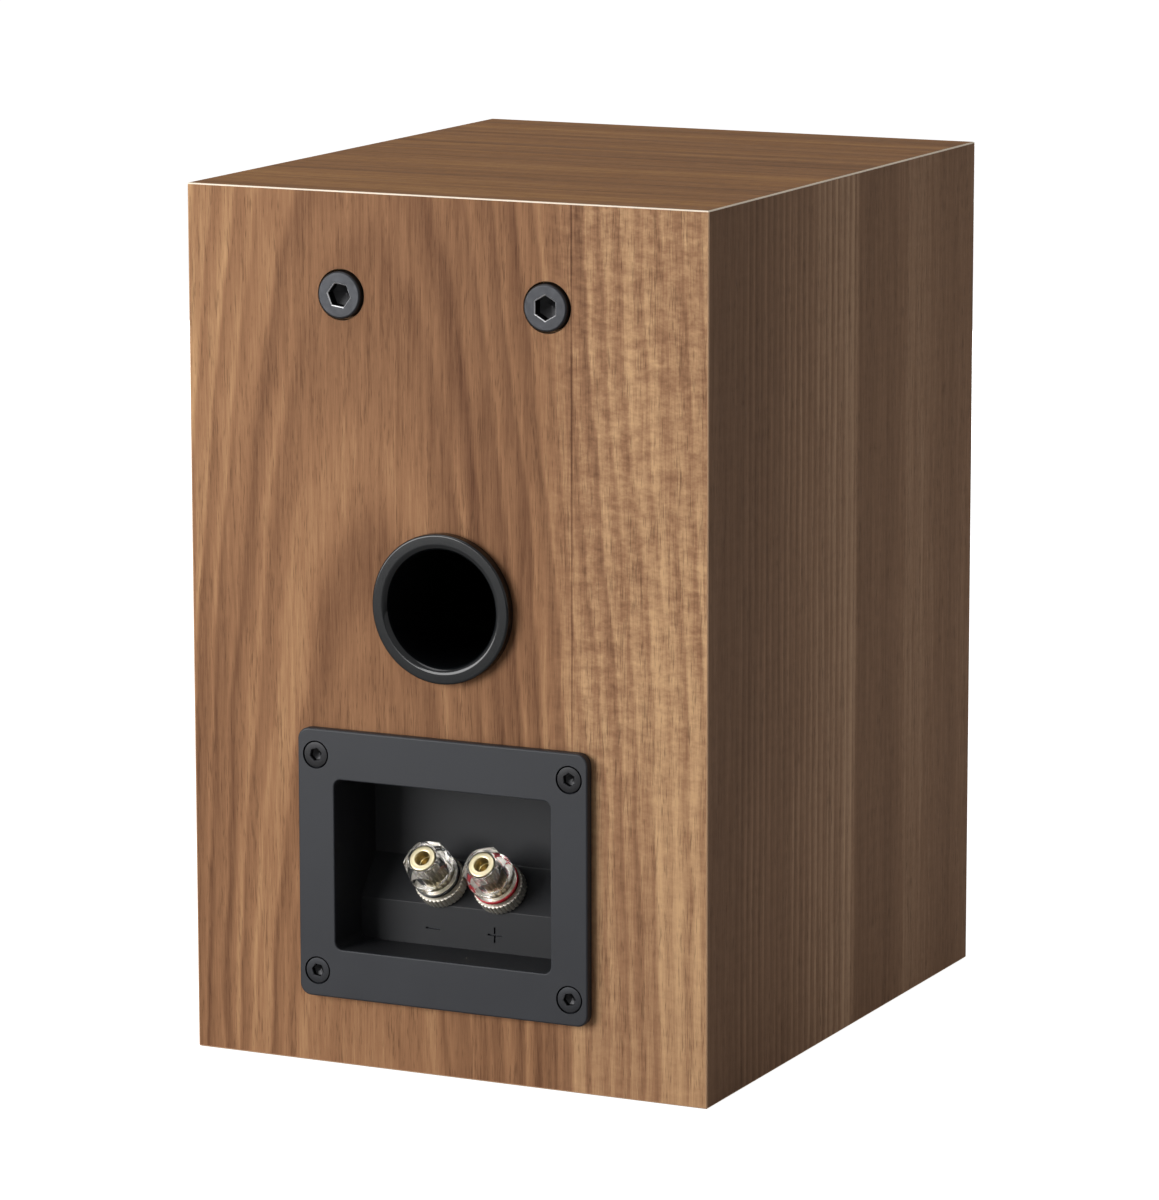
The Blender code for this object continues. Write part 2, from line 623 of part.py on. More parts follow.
def woofer_frame(finishes, spot):
    """The pressed frame: front flange, ledge for the surround, windowed cone, spider seat, rear ring."""
    wall = 0.002
    lip_d = WOOFER_LEDGE_DEEP + 0.0014
    seat_d = SPIDER_D + SPIDER_THICK + GAP
    throat_r = WOOFER_HOLE_R - 0.0006
    seat_r = SPIDER_R + SLIDE_FIT
    ledge_in_r = WOOFER_LEDGE_R - 0.0032
    profile = [
        (WOOFER_FRAME_R, 0), (WOOFER_FRAME_R, WOOFER_FRAME_THICK), (throat_r, WOOFER_FRAME_THICK),
        (throat_r - 0.0008, 0.012), (seat_r + 0.0025, 0.025), (MAGNET_R, 0.036), (MAGNET_R, BASKET_D),
        (MOTOR_HOLE_R, BASKET_D), (MOTOR_HOLE_R, BASKET_D - wall), (seat_r - 0.0025, BASKET_D - wall),
        (seat_r - 0.0025, seat_d), (seat_r, seat_d), (seat_r, seat_d - 0.0025), (throat_r - 0.0030, 0.012),
        (throat_r - 0.0022, lip_d),
        (ledge_in_r, lip_d), (ledge_in_r, WOOFER_LEDGE_DEEP), (WOOFER_LEDGE_R, WOOFER_LEDGE_DEEP),
        (WOOFER_LEDGE_R, 0),
    ]
    basket = turned("woofer_basket", profile, finishes["black_steel"], 28, **spot)
    for number, (x, z) in enumerate(on_circle(BASKET_WINDOWS, 1.0, math.pi / 8), 1):
        window = box(f"basket_window_{number}", (0.034, -0.009, 0.0135), (0.060, 0.009, 0.0240))
        window.location = spot["location"]
        window.rotation_euler = (TO_Y[0], -math.atan2(z, x), 0)
        combine(basket, window)
    seal_d = WOOFER_FRAME_THICK + GAP
    seal = ring(
        "woofer_gasket", WOOFER_HOLE_R + SLIDE_FIT, WOOFER_FRAME_R - SLIDE_FIT,
        seal_d, seal_d + WOOFER_SEAL_THICK, finishes["rubber"], 32, **spot,
    )
    name, spots, sizes = driver_screws()[0]
    for number, (x, z) in enumerate(spots, 1):
        countersunk_screw(f"{name}_{number}", *sizes, 0.003, finishes["black_steel"], **into_front(x, z))
        for piece in (basket, seal):
            combine(piece, bpy.data.objects[f"{name}_hole_{number}"])


def cone_depth(r):
    """Depth of the cone's front face, flaring towards its edge."""
    share = (CONE_EDGE_R - r) / (CONE_EDGE_R - COIL_R)
    return WOOFER_LEDGE_DEEP + (CONE_NECK_D - CONE_THICK - WOOFER_LEDGE_DEEP) * share**0.9


def woofer_moving_parts(finishes, spot):
    steps = 4
    radii = [CONE_EDGE_R + (NECK_R - CONE_EDGE_R) * i / steps for i in range(steps + 1)]
    front = [(r, cone_depth(r)) for r in radii]
    back = [(r, d + CONE_THICK) for r, d in reversed(front)]
    turned("woofer_cone", front + back, finishes["paper_cone"], 32, **spot)
    turned("woofer_surround", surround_profile(), finishes["rubber"], 28, **spot)
    turned("woofer_dust_cap", dust_cap_profile(), finishes["rubber"], 24, **spot)
    inner = COIL_R - COIL_WALL
    winding = COIL_R + 0.0005
    start, turns_at = 0.0220, COIL_END_D - 0.008
    coil = [
        (inner, start), (COIL_R, start), (COIL_R, turns_at), (winding, turns_at), (winding, COIL_END_D),
        (inner, COIL_END_D),
    ]
    turned("woofer_voice_coil", coil, finishes["copper"], 24, **spot)
    turned("woofer_spider", spider_profile(), finishes["spider_cloth"], 24, **spot)


def surround_profile():
    """A half roll between two flat lips, one glued to the cone's edge and one to the frame's ledge."""
    thick = 0.0006
    base = WOOFER_LEDGE_DEEP - GAP
    arc = [math.radians(a) for a in range(0, 181, 45)]
    middle = ROLL_CENTRE_R
    outside = [(middle + ROLL_R * math.cos(a), base - thick - ROLL_R * math.sin(a)) for a in arc]
    inner_roll = ROLL_R - thick
    inside = [(middle + inner_roll * math.cos(a), base - inner_roll * math.sin(a)) for a in reversed(arc)]
    outer_lip = WOOFER_LEDGE_R - GAP
    inner_lip = ROLL_CENTRE_R - ROLL_R - 0.0024
    front = [(outer_lip, base - thick)] + outside + [(inner_lip, base - thick)]
    return front + [(inner_lip, base)] + inside + [(outer_lip, base)]


def dust_cap_profile():
    edge_r, tall, thick = COIL_R + 0.0025, 0.0055, 0.0007
    base = cone_depth(edge_r) - GAP
    radius = (edge_r**2 + tall**2) / (2 * tall)
    radii = [edge_r * i / 4 for i in range(5)]
    front = [(r, base - tall - thick + radius - math.sqrt(radius**2 - r**2)) for r in radii]
    return front + [(r, d + thick) for r, d in reversed(front)]


def spider_profile():
    """A cloth disc pressed into rings of waves, from the former out to its seat in the frame."""
    inner, outer, waves, samples = NECK_R, SPIDER_R, 2, 8
    radii = [inner + (outer - inner) * i / samples for i in range(samples + 1)]
    tall = 0.0009

    def depth(r):
        share = (r - inner) / (outer - inner)
        return SPIDER_D - tall * math.sin(2 * math.pi * waves * share) * math.sin(math.pi * share)

    front = [(r, depth(r)) for r in radii]
    return front + [(r, d + SPIDER_THICK) for r, d in reversed(front)]


def woofer_motor(finishes, spot):
    plate_d = BASKET_D + GAP
    magnet_d = plate_d + TOP_PLATE_THICK + GAP
    yoke_d = magnet_d + MAGNET_THICK + GAP
    gap_r = COIL_R + 0.0005 + SLIDE_FIT
    plate_r = MAGNET_R - 0.0035
    steel = finishes["zinc"]
    ring("woofer_top_plate", gap_r, plate_r, plate_d, plate_d + TOP_PLATE_THICK, steel, 28, **spot)
    ring(
        "woofer_magnet", MOTOR_HOLE_R + 0.001, MAGNET_R, magnet_d, magnet_d + MAGNET_THICK,
        finishes["ferrite"], 28, **spot,
    )
    pole_r = COIL_R - COIL_WALL - SLIDE_FIT
    end = yoke_d + YOKE_THICK
    yoke = [(0, plate_d), (pole_r, plate_d), (pole_r, yoke_d), (plate_r, yoke_d), (plate_r, end), (0, end)]
    turned("woofer_yoke", yoke, steel, 28, **spot)


# Tweeter
def tweeter(finishes):
    spot = on_front(0, TWEETER_Z)
    boss_r, boss_d = TWEETER_HOLE_R - 0.0035, TWEETER_PLATE_THICK + 0.0015
    horn_r, horn_d = 0.024, 0.0034
    profile = [
        (TWEETER_PLATE_R, 0), (TWEETER_PLATE_R, TWEETER_PLATE_THICK), (boss_r, TWEETER_PLATE_THICK),
        (boss_r, boss_d), (TWEETER_MOUTH_R, boss_d), (TWEETER_MOUTH_R, horn_d), (0.019, 0.0017), (horn_r, 0),
    ]
    plate = turned("tweeter_faceplate", profile, finishes["satin_black"], 28, **spot)
    name, spots, sizes = driver_screws()[1]
    for number, (x, z) in enumerate(spots, 1):
        countersunk_screw(f"{name}_{number}", *sizes, 0.0025, finishes["black_steel"], **into_front(x, z))
        combine(plate, bpy.data.objects[f"{name}_hole_{number}"])
    turned("tweeter_dome", dome_profile(), finishes["silk"], 24, **spot)
    surround_d = boss_d + GAP
    ring(
        "tweeter_surround", DOME_R + GAP, TWEETER_MOUTH_R + 0.0020, surround_d, surround_d + 0.0005,
        finishes["silk"], 24, **spot,
    )
    tweeter_motor(finishes["ferrite"], surround_d + 0.0005 + GAP, spot)


def dome_profile():
    """A thin dome with its voice coil's tube below it, in one piece."""
    thick, tube = 0.0004, 0.0006
    radius = (DOME_R**2 + DOME_TALL**2) / (2 * DOME_TALL)
    radii = [DOME_R * i / 5 for i in range(6)]
    front = [(r, DOME_BASE_D - DOME_TALL + radius - math.sqrt(radius**2 - r**2)) for r in radii]
    inner_r = DOME_R - tube
    back = [(r, d + thick) for r, d in reversed(front) if r < inner_r]
    end = DOME_BASE_D + 0.0036
    return front + [(DOME_R, end), (inner_r, end), (inner_r, DOME_BASE_D + thick)] + back


def tweeter_motor(finish, start, spot):
    """Magnet system with the ring gap that the dome's coil moves in."""
    inner, outer = DOME_R - 0.0006 - SLIDE_FIT, DOME_R + SLIDE_FIT
    groove = start + 0.006
    pole = start + 0.0006
    profile = [
        (0, pole), (inner, pole), (inner, groove), (outer, groove), (outer, start), (TWEETER_MOTOR_R, start),
        (TWEETER_MOTOR_R, TWEETER_MOTOR_D), (0, TWEETER_MOTOR_D),
    ]
    turned("tweeter_motor", profile, finish, 28, **spot)


# Crossover, leads and wadding
def crossover(finishes):
    low, high = BOARD_Y - BOARD_DEEP / 2, BOARD_Y + BOARD_DEEP / 2
    box(
        "crossover_board", (-BOARD_WIDE / 2, low, WALL + GAP), (BOARD_WIDE / 2, high, BOARD_TOP),
        finishes["board_green"],
    )
    base = BOARD_TOP + GAP
    ring(
        "crossover_choke", 0.007, CHOKE_R, 0, CHOKE_TALL, finishes["copper"], 24,
        location=(0.020, BOARD_Y, base),
    )
    prism(
        "crossover_capacitor", 2 * CAPACITOR_R, 24, -CAPACITOR_LONG / 2, CAPACITOR_LONG / 2,
        finishes["film_yellow"], location=(-0.024, BOARD_Y, base + CAPACITOR_R), rotation=TO_Y,
    )


def leads(finishes):
    """Input wires from the posts' tails to the board, and one twin lead to each driver."""
    tail = ROD_TAIL + GAP
    start_y = POST_Y - tail * math.cos(POST_TILT)
    start_z = POST_Z - tail * math.sin(POST_TILT)
    lift = BOARD_TOP + LEAD_R + 2 * GAP
    board_rear, board_front = BOARD_Y + BOARD_DEEP / 2, BOARD_Y - BOARD_DEEP / 2
    for side, word, finish in ((1, "negative", "black_plastic"), (-1, "positive", "red_plastic")):
        x = side * POST_PITCH / 2
        along = (math.cos(POST_TILT) * 0.008, math.sin(POST_TILT) * 0.008)
        lead(
            f"input_lead_{word}",
            [
                (x, start_y, start_z), (x, start_y - along[0], start_z - along[1]),
                (side * 0.016, board_rear + 0.001, lift + 0.008), (side * 0.012, board_rear - 0.006, lift),
                (side * 0.010, board_rear - 0.012, lift),
            ],
            finishes[finish],
        )
    frame_y = FRONT_Y + 0.022
    lead(
        "woofer_lead",
        [
            (0.036, board_front + 0.010, lift), (0.040, board_front, lift + 0.001),
            (0.052, (board_front + frame_y) / 2, 0.028), (0.048, frame_y + 0.006, 0.040),
            (0.0365, frame_y, WOOFER_Z - 0.0365),
        ],
        finishes["black_plastic"],
        LEAD_R * 1.4,
    )
    side_x = -INNER_X + 0.008
    lead(
        "tweeter_lead",
        [
            (-0.036, board_front + 0.010, lift), (-0.042, board_front, lift + 0.001),
            (side_x, board_front - 0.014, 0.040), (side_x, board_front - 0.020, 0.100),
            (side_x, board_front - 0.040, TWEETER_Z - 0.030),
            (side_x + 0.010, FRONT_Y + 0.024, TWEETER_Z - 0.004),
            (-TWEETER_MOTOR_R - LEAD_R, FRONT_Y + 0.022, TWEETER_Z),
        ],
        finishes["black_plastic"],
        LEAD_R * 1.4,
    )


def wadding(finishes):
    clear = 0.003
    low_z = PORT_Z + PORT_THROAT_R + PORT_WALL + 0.008
    low_y = FRONT_Y + TWEETER_MOTOR_D + 0.016
    high_y = REAR_Y - WALL - INSERT_FLANGE_THICK - 3 * clear
    box(
        "wadding", (-INNER_X + clear + 0.012, low_y, low_z), (INNER_X - clear, high_y, HEIGHT - WALL - clear),
        finishes["wadding_white"],
    )


def main():
    start_scene()
    finishes = make_materials()
    cabinet(finishes)
    front_baffle(finishes)
    wall_bolts(finishes)
    port_tube(finishes)
    cup = terminal_cup(finishes)
    binding_post(1, "negative", cup, finishes["black_plastic"], finishes)
    binding_post(-1, "positive", cup, finishes["red_plastic"], finishes)
    woofer(finishes)
    tweeter(finishes)
    crossover(finishes)
    leads(finishes)
    wadding(finishes)


main()
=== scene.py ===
# %% [markdown]
# # A small walnut loudspeaker, seen from behind
#
# This notebook dresses an engineering model of a two-way bookshelf speaker. The model comes in as a fixed
# frame: every size and place is read from it, and nothing in it moves. What is made here is the surface
# that the eye meets: the veneer and its figure, the moulded plastics, the clear caps of the binding posts.
#
# The frame is loaded first, and its overall box is kept and printed at the end.

# %% Load the frame
import json
import math

import bmesh
import bpy
from mathutils import Matrix, Vector
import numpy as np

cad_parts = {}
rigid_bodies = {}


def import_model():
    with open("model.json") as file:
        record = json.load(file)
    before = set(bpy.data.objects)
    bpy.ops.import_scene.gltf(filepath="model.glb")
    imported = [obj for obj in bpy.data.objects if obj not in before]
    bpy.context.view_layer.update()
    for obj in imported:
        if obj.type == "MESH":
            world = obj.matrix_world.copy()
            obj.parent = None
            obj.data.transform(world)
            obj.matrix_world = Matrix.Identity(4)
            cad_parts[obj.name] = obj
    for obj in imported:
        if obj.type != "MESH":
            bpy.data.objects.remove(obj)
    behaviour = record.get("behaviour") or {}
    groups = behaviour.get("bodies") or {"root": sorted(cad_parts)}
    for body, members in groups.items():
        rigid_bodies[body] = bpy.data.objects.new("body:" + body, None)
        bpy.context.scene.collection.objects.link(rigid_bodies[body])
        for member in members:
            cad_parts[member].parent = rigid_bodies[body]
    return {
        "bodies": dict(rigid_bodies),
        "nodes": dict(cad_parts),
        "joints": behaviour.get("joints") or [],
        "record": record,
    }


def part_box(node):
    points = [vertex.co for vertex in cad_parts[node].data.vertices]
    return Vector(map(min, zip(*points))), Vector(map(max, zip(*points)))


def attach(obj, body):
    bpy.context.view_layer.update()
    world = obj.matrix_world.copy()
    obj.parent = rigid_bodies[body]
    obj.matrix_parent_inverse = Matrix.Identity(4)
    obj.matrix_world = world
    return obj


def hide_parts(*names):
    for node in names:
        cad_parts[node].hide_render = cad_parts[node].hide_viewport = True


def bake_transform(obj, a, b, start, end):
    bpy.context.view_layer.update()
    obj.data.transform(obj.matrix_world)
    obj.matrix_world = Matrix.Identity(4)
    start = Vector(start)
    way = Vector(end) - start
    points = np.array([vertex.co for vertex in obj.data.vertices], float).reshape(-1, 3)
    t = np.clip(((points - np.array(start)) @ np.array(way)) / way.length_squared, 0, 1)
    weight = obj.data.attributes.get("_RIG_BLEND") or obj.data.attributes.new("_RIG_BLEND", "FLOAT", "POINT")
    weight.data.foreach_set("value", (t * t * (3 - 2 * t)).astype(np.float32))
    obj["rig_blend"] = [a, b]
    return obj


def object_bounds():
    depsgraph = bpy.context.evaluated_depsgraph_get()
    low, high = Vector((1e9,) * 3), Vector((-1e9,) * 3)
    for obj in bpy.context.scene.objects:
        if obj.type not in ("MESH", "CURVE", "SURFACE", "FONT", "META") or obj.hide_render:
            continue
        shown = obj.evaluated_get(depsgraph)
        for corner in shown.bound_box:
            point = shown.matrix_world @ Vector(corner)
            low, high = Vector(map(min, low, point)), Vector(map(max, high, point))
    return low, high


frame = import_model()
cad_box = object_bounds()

MM = 0.001
LOW, HIGH = cad_box
print("overall, mm:", [round(side / MM, 1) for side in HIGH - LOW])

# %% [markdown]
# ## Sizes that everything shares
#
# The cabinet is a box that stands on the floor. Its front and rear faces are planes of constant Y, with the
# rear at +Y. The port's flange stands a little proud of the rear face, so the face's own place is read from
# the rear panel, and not from the overall box.

# %% Planes and places
FRONT_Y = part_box("front_baffle")[0].y
REAR_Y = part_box("rear_panel")[1].y
WIDTH = HIGH.x - LOW.x
HEIGHT = HIGH.z - LOW.z
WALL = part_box("rear_panel")[1].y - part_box("rear_panel")[0].y


def middle(node):
    """The centre of a CAD node's box."""
    low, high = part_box(node)
    return (low + high) / 2


PORT = middle("port_tube")
PLATE = middle("terminal_gasket")
WOOFER = middle("woofer_gasket")
TWEETER = middle("tweeter_surround")
print("rear face at", round(REAR_Y, 4), "port centre", tuple(round(v, 4) for v in PORT))

# %% [markdown]
# ## The camera
#
# A long lens from 1.76 m keeps the edges of the box nearly parallel, as in a catalogue picture. The camera
# looks slightly down on the rear and on one side. Its direction is given by an azimuth and an elevation, and
# its distance as a multiple of the cabinet's height, so that it stays right if the cabinet grows.

# %% Place the camera
AZIMUTH, ELEVATION, ROLL = math.radians(205.61), math.radians(10.57), math.radians(-0.09)
DISTANCE_IN_HEIGHTS = 6.899
IMAGE_WIDE, IMAGE_TALL = 1159, 1200
FOCAL_IN_IMAGE = 5872 / IMAGE_TALL  # focal length as a share of the image's long side


def make_camera():
    camera = bpy.data.objects.new("camera", bpy.data.cameras.new("camera"))
    bpy.context.scene.collection.objects.link(camera)
    away = Vector((
        math.sin(AZIMUTH) * math.cos(ELEVATION),
        -math.cos(AZIMUTH) * math.cos(ELEVATION),
        math.sin(ELEVATION),
    ))
    aim = Vector((0.0180 * HEIGHT, (FRONT_Y + REAR_Y) / 2, 0.4822 * HEIGHT))
    camera.location = aim + away * DISTANCE_IN_HEIGHTS * HEIGHT
    turn = away.to_track_quat("Z", "Y").to_matrix() @ Matrix.Rotation(ROLL, 3, "Z")
    camera.rotation_euler = turn.to_euler()
    camera.data.sensor_width = 36
    camera.data.lens = 36 * FOCAL_IN_IMAGE
    camera.data.clip_start = 0.05
    return camera


bpy.context.scene.camera = make_camera()
bpy.context.scene.view_settings.view_transform = "Standard"
print("camera at", tuple(round(v, 3) for v in bpy.context.scene.camera.location))

# %% [markdown]
# ## Floor and light
#
# Studio pictures of this kind stand on white paper that runs up behind the object. One large soft light
# faces the rear panel, a strip above lights the top, and the side away from both falls into shade. A little
# light from all round keeps the shadows open. The paper glows slightly itself, so it stays nearly white.
#
# The cell starts with the tools for shader nodes, which every finish uses. A Signal is a value inside a node
# tree, so the arithmetic of a tree is written as plain sums.


# %% Studio
class Signal:
    """A value in a node tree. Arithmetic on it adds the nodes that work it out."""

    def __init__(self, tree, made, output=0):
        self.tree, self.socket = tree, made.outputs[output]

    def __add__(self, other):
        return calc("ADD", self, other)

    def __radd__(self, other):
        return calc("ADD", other, self)

    def __sub__(self, other):
        return calc("SUBTRACT", self, other)

    def __rsub__(self, other):
        return calc("SUBTRACT", other, self)

    def __mul__(self, other):
        return calc("MULTIPLY", self, other)

    def __truediv__(self, other):
        return calc("DIVIDE", self, other)

    def __rtruediv__(self, other):
        return calc("DIVIDE", other, self)

    def __abs__(self):
        return calc("ABSOLUTE", self)

    def ramp(self, from_low, from_high, to_low=0.0, to_high=1.0, smooth=False):
        """This value carried from one range to another, and held at the ends."""
        made = node(self.tree, "ShaderNodeMapRange", {
            "Value": self, "From Min": from_low, "From Max": from_high, "To Min": to_low, "To Max": to_high,
        }, interpolation_type="SMOOTHSTEP" if smooth else "LINEAR")
        return Signal(self.tree, made)

    def levels(self, *points):
        """This value carried through (position, level) points. The first two are the ends."""
        made = node(self.tree, "ShaderNodeValToRGB", {"Fac": self})
        stops = made.color_ramp.elements
        for number, (position, level) in enumerate(points):
            stop = stops[number] if number < 2 else stops.new(position)
            stop.position, stop.color = position, (level, level, level, 1)
        return Signal(self.tree, made)

    def near(self, place, reach):
        """1 where this value is at a place, and 0 beyond its reach."""
        return abs(self - place).ramp(0.0, reach, 1.0, 0.0, smooth=True)


def feed(tree, made, inputs):
    """Sets a node's inputs to plain values, or links them from signals and sockets."""
    for name, value in inputs.items():
        source = getattr(value, "socket", value)
        if isinstance(source, bpy.types.NodeSocket):
            tree.links.new(source, made.inputs[name])
        else:
            made.inputs[name].default_value = source


def node(tree, kind, inputs=None, **settings):
    """Adds a shader node."""
    made = tree.nodes.new(kind)
    for name, value in settings.items():
        setattr(made, name, value)
    feed(tree, made, inputs or {})
    return made


def calc(operation, *terms):
    """One arithmetic node, and its result."""
    tree = next(term.tree for term in terms if isinstance(term, Signal))
    return Signal(tree, node(tree, "ShaderNodeMath", dict(enumerate(terms)), operation=operation))


def signals(tree, made):
    """Every output of a node, by its name."""
    return {output.name: Signal(tree, made, number) for number, output in enumerate(made.outputs)}


def soft_light(name, place, wide, tall, watts):
    """A square of light that faces the middle of the cabinet."""
    data = bpy.data.lights.new(name, "AREA")
    data.shape = "RECTANGLE"
    data.size, data.size_y, data.energy = wide, tall, watts
    lamp = bpy.data.objects.new(name, data)
    bpy.context.scene.collection.objects.link(lamp)
    lamp.location = place
    facing = Vector(place) - Vector((0, 0, HEIGHT / 2))
    lamp.rotation_euler = facing.to_track_quat("Z", "Y").to_euler()
    lamp.visible_camera = False


soft_light("key", (0.75, 1.15, 0.40), 0.8, 0.8, 17.2)
soft_light("overhead", (0.30, 0.20, 1.15), 0.7, 0.7, 3.6)
soft_light("side_fill", (-0.62, -0.06, 0.16), 0.3, 0.3, 0.72)
soft_light("front_fill", (0.5, -1.4, 0.12), 0.9, 0.2, 7)

AMBIENT, PAPER_WALLS = 0.10, 0.45  # light from all round, and what mirrors and clear plastic see besides
WHITE = (1, 1, 1, 1)
PAPER_GREY, PAPER_GLOW = 0.55, 0.95


def make_world():
    world = bpy.data.worlds.new("studio")
    bpy.context.scene.world = world
    world.use_nodes = True
    sky = world.node_tree
    sky.nodes.clear()
    ray = signals(sky, node(sky, "ShaderNodeLightPath"))
    mirrored = calc("MAXIMUM", ray["Is Glossy Ray"], ray["Is Transmission Ray"])
    glow = AMBIENT + mirrored * PAPER_WALLS
    around = node(sky, "ShaderNodeBackground", {"Color": WHITE, "Strength": glow})
    paper = node(sky, "ShaderNodeBackground", {"Color": WHITE, "Strength": 1.0})
    both = {0: ray["Is Camera Ray"], 1: around.outputs[0], 2: paper.outputs[0]}
    node(sky, "ShaderNodeOutputWorld", {"Surface": node(sky, "ShaderNodeMixShader", both).outputs[0]})


def make_floor():
    form = bmesh.new()
    bmesh.ops.create_grid(form, x_segments=1, y_segments=1, size=6)
    mesh = bpy.data.meshes.new("paper_floor")
    form.to_mesh(mesh)
    form.free()
    floor = bpy.data.objects.new("paper_floor", mesh)
    floor.location.z = -0.0002
    bpy.context.scene.collection.objects.link(floor)
    finish = bpy.data.materials.new("white_paper")
    finish.use_nodes = True
    tree = finish.node_tree
    seen = signals(tree, node(tree, "ShaderNodeLightPath"))["Is Camera Ray"]
    feed(tree, tree.nodes["Principled BSDF"], {
        "Base Color": (PAPER_GREY, PAPER_GREY, PAPER_GREY, 1), "Roughness": 0.9,
        "Emission Color": seen, "Emission Strength": PAPER_GLOW,
    })
    mesh.materials.append(finish)


make_world()
make_floor()

# %% [markdown]
# ## Shared effects as node groups
#
# Several finishes need the same effect with other numbers, so each effect is one node group with named
# sockets. A group gives out only numbers; the shader itself stays in each material.


# %% Helpers for node groups
def start_group(name, inputs, outputs):
    """A new group with these inputs, as {name: default}, and outputs, which are all numbers."""
    group = bpy.data.node_groups.new(name, "ShaderNodeTree")
    for label, default in inputs.items():
        kind = "NodeSocketVector" if isinstance(default, tuple) else "NodeSocketFloat"
        socket = group.interface.new_socket(label, in_out="INPUT", socket_type=kind)
        socket.default_value = default
    for label in outputs:
        group.interface.new_socket(label, in_out="OUTPUT", socket_type="NodeSocketFloat")
    return group, signals(group, node(group, "NodeGroupInput"))


def point(x, y, z):
    """A place made of three values."""
    return Signal(x.tree, node(x.tree, "ShaderNodeCombineXYZ", {"X": x, "Y": y, "Z": z}))


def noise(where, scale, detail=2.0, roughness=0.5, stretch=(1, 1, 1), offset=(0, 0, 0)):
    """Noise from 0 to 1 over a place that is stretched first."""
    moved = node(where.tree, "ShaderNodeMapping", {"Vector": where, "Scale": stretch, "Location": offset})
    inputs = {"Vector": moved.outputs[0], "Scale": scale, "Detail": detail, "Roughness": roughness}
    return Signal(where.tree, node(where.tree, "ShaderNodeTexNoise", inputs))


def blend(tree, share, first, second, mode="MIX"):
    """Two colours mixed."""
    inputs = {0: share, 6: first, 7: second}
    return Signal(tree, node(tree, "ShaderNodeMix", inputs, data_type="RGBA", blend_type=mode), 2)


print("helpers ready")

# %% [markdown]
# ### Wood figure
#
# A board is a slice through the growth rings of a log. If the slice runs slightly askew to the log's axis,
# the rings show as nested arches, and far from the middle they become straight stripes. That is what this
# group works out: the distance of each point from a tilted axis, divided by the width of a ring. Slow noise
# makes the rings wander. Fibres and pores are noise stretched many times along the grain, and the mottle is
# the cloudy shimmer of grain that waves in and out of the surface.
#
# Across and Along are in millimetres, so every number in the group has a size that can be checked on wood.


# %% The wood group
def make_wood_group():
    group, given = start_group(
        "wood_figure",
        {
            "Across": 0.0, "Along": 0.0, "Heart": 0.0, "Tilt": 0.12, "Foot": -100.0, "Ring": 6.6,
            "Wander": 6.0, "Seed": 0.0,
        },
        ("Rings", "Distance", "Fibre", "Pores", "Mottle", "Bands"),
    )
    spot = point(given["Across"], given["Along"], given["Seed"])
    slow = noise(spot, 0.020, stretch=(1, 0.35, 1))
    quick = noise(spot, 0.10, stretch=(1, 0.30, 1), offset=(30, 0, 5))
    push = (slow - 0.5) * (given["Wander"] * 3.0)
    wobble = (quick - 0.5) * given["Wander"]
    across = given["Across"] + push - given["Heart"] + wobble
    depth = (given["Along"] - given["Foot"]) * given["Tilt"]
    distance = calc("SQRT", across * across + depth * depth)
    phase = calc("FRACT", distance / given["Ring"])
    wave = phase.ramp(0.0, 0.30, smooth=True) * phase.ramp(0.30, 1.0, 1.0, 0.0)
    uneven = noise(spot, 0.13, 2.0, 0.6, (1, 0.06, 1), (0, 9, 3))
    fibre = noise(spot, 2.4, 4.0, 0.75, (1, 0.03, 1))
    streak = noise(spot, 0.50, 4.0, 0.65, (1, 0.035, 1), (7, 3, 1))
    dashes = noise(spot, 3.3, 2.0, 0.5, (1, 0.055, 1), (4, 8, 2))
    patches = noise(spot, 0.30, 1.0, 0.5, (1, 0.12, 1), (1, 5, 8))
    cloud = noise(spot, 0.26, 3.0, 0.6, (0.6, 1.1, 1), (0, 4, 6))
    ripple = noise(spot, 0.80, 2.0, 0.6, (0.6, 1.0, 1), (9, 1, 0))
    node(group, "NodeGroupOutput", {
        "Rings": wave * uneven.ramp(0.3, 0.7, 0.45, 1.15),
        "Distance": distance,
        "Fibre": fibre * 0.5 + streak * 0.5,
        "Pores": (dashes + patches * 0.3).ramp(0.72, 0.86),
        "Mottle": cloud * 0.6 + ripple * 0.4,
        "Bands": noise(point(distance, given["Along"] * 0.02, given["Seed"]), 0.12),
    })
    return group


WOOD = make_wood_group()
print("wood group sockets:", [s.name for s in WOOD.interface.items_tree])

# %% [markdown]
# ### Moulded and turned surfaces
#
# Plastic from a tool is never quite smooth: it carries a spark texture a tenth of a millimetre across, a
# slow unevenness, and the polish of the hands that held it. One group serves plastics, lacquer and rubber,
# each with its own grain size and depth.
#
# Bolts, sleeves and plates are turned or pressed, which leaves fine lines in the metal and small stains. The
# metal group mixes lines, stretched along one axis, with blotches of handling.

# %% The moulded and metal groups
SURFACE_OUTPUTS = ("Height", "Roughness", "Shade")


def make_moulded_group():
    group, given = start_group(
        "moulded_surface",
        {"Place": (0.0, 0.0, 0.0), "Grain": 0.25, "Roughness": 0.45, "Spread": 0.06}, SURFACE_OUTPUTS,
    )
    fine = noise(given["Place"], 1.0 / given["Grain"])
    slow = noise(given["Place"], 0.06)
    uneven = (slow - 0.5) * given["Spread"] + (fine - 0.5) * given["Spread"]
    shade = (slow * 0.7 + fine * 0.3).ramp(0.2, 0.8, 0.86, 1.12)
    node(group, "NodeGroupOutput", {"Height": fine, "Roughness": given["Roughness"] + uneven, "Shade": shade})
    return group


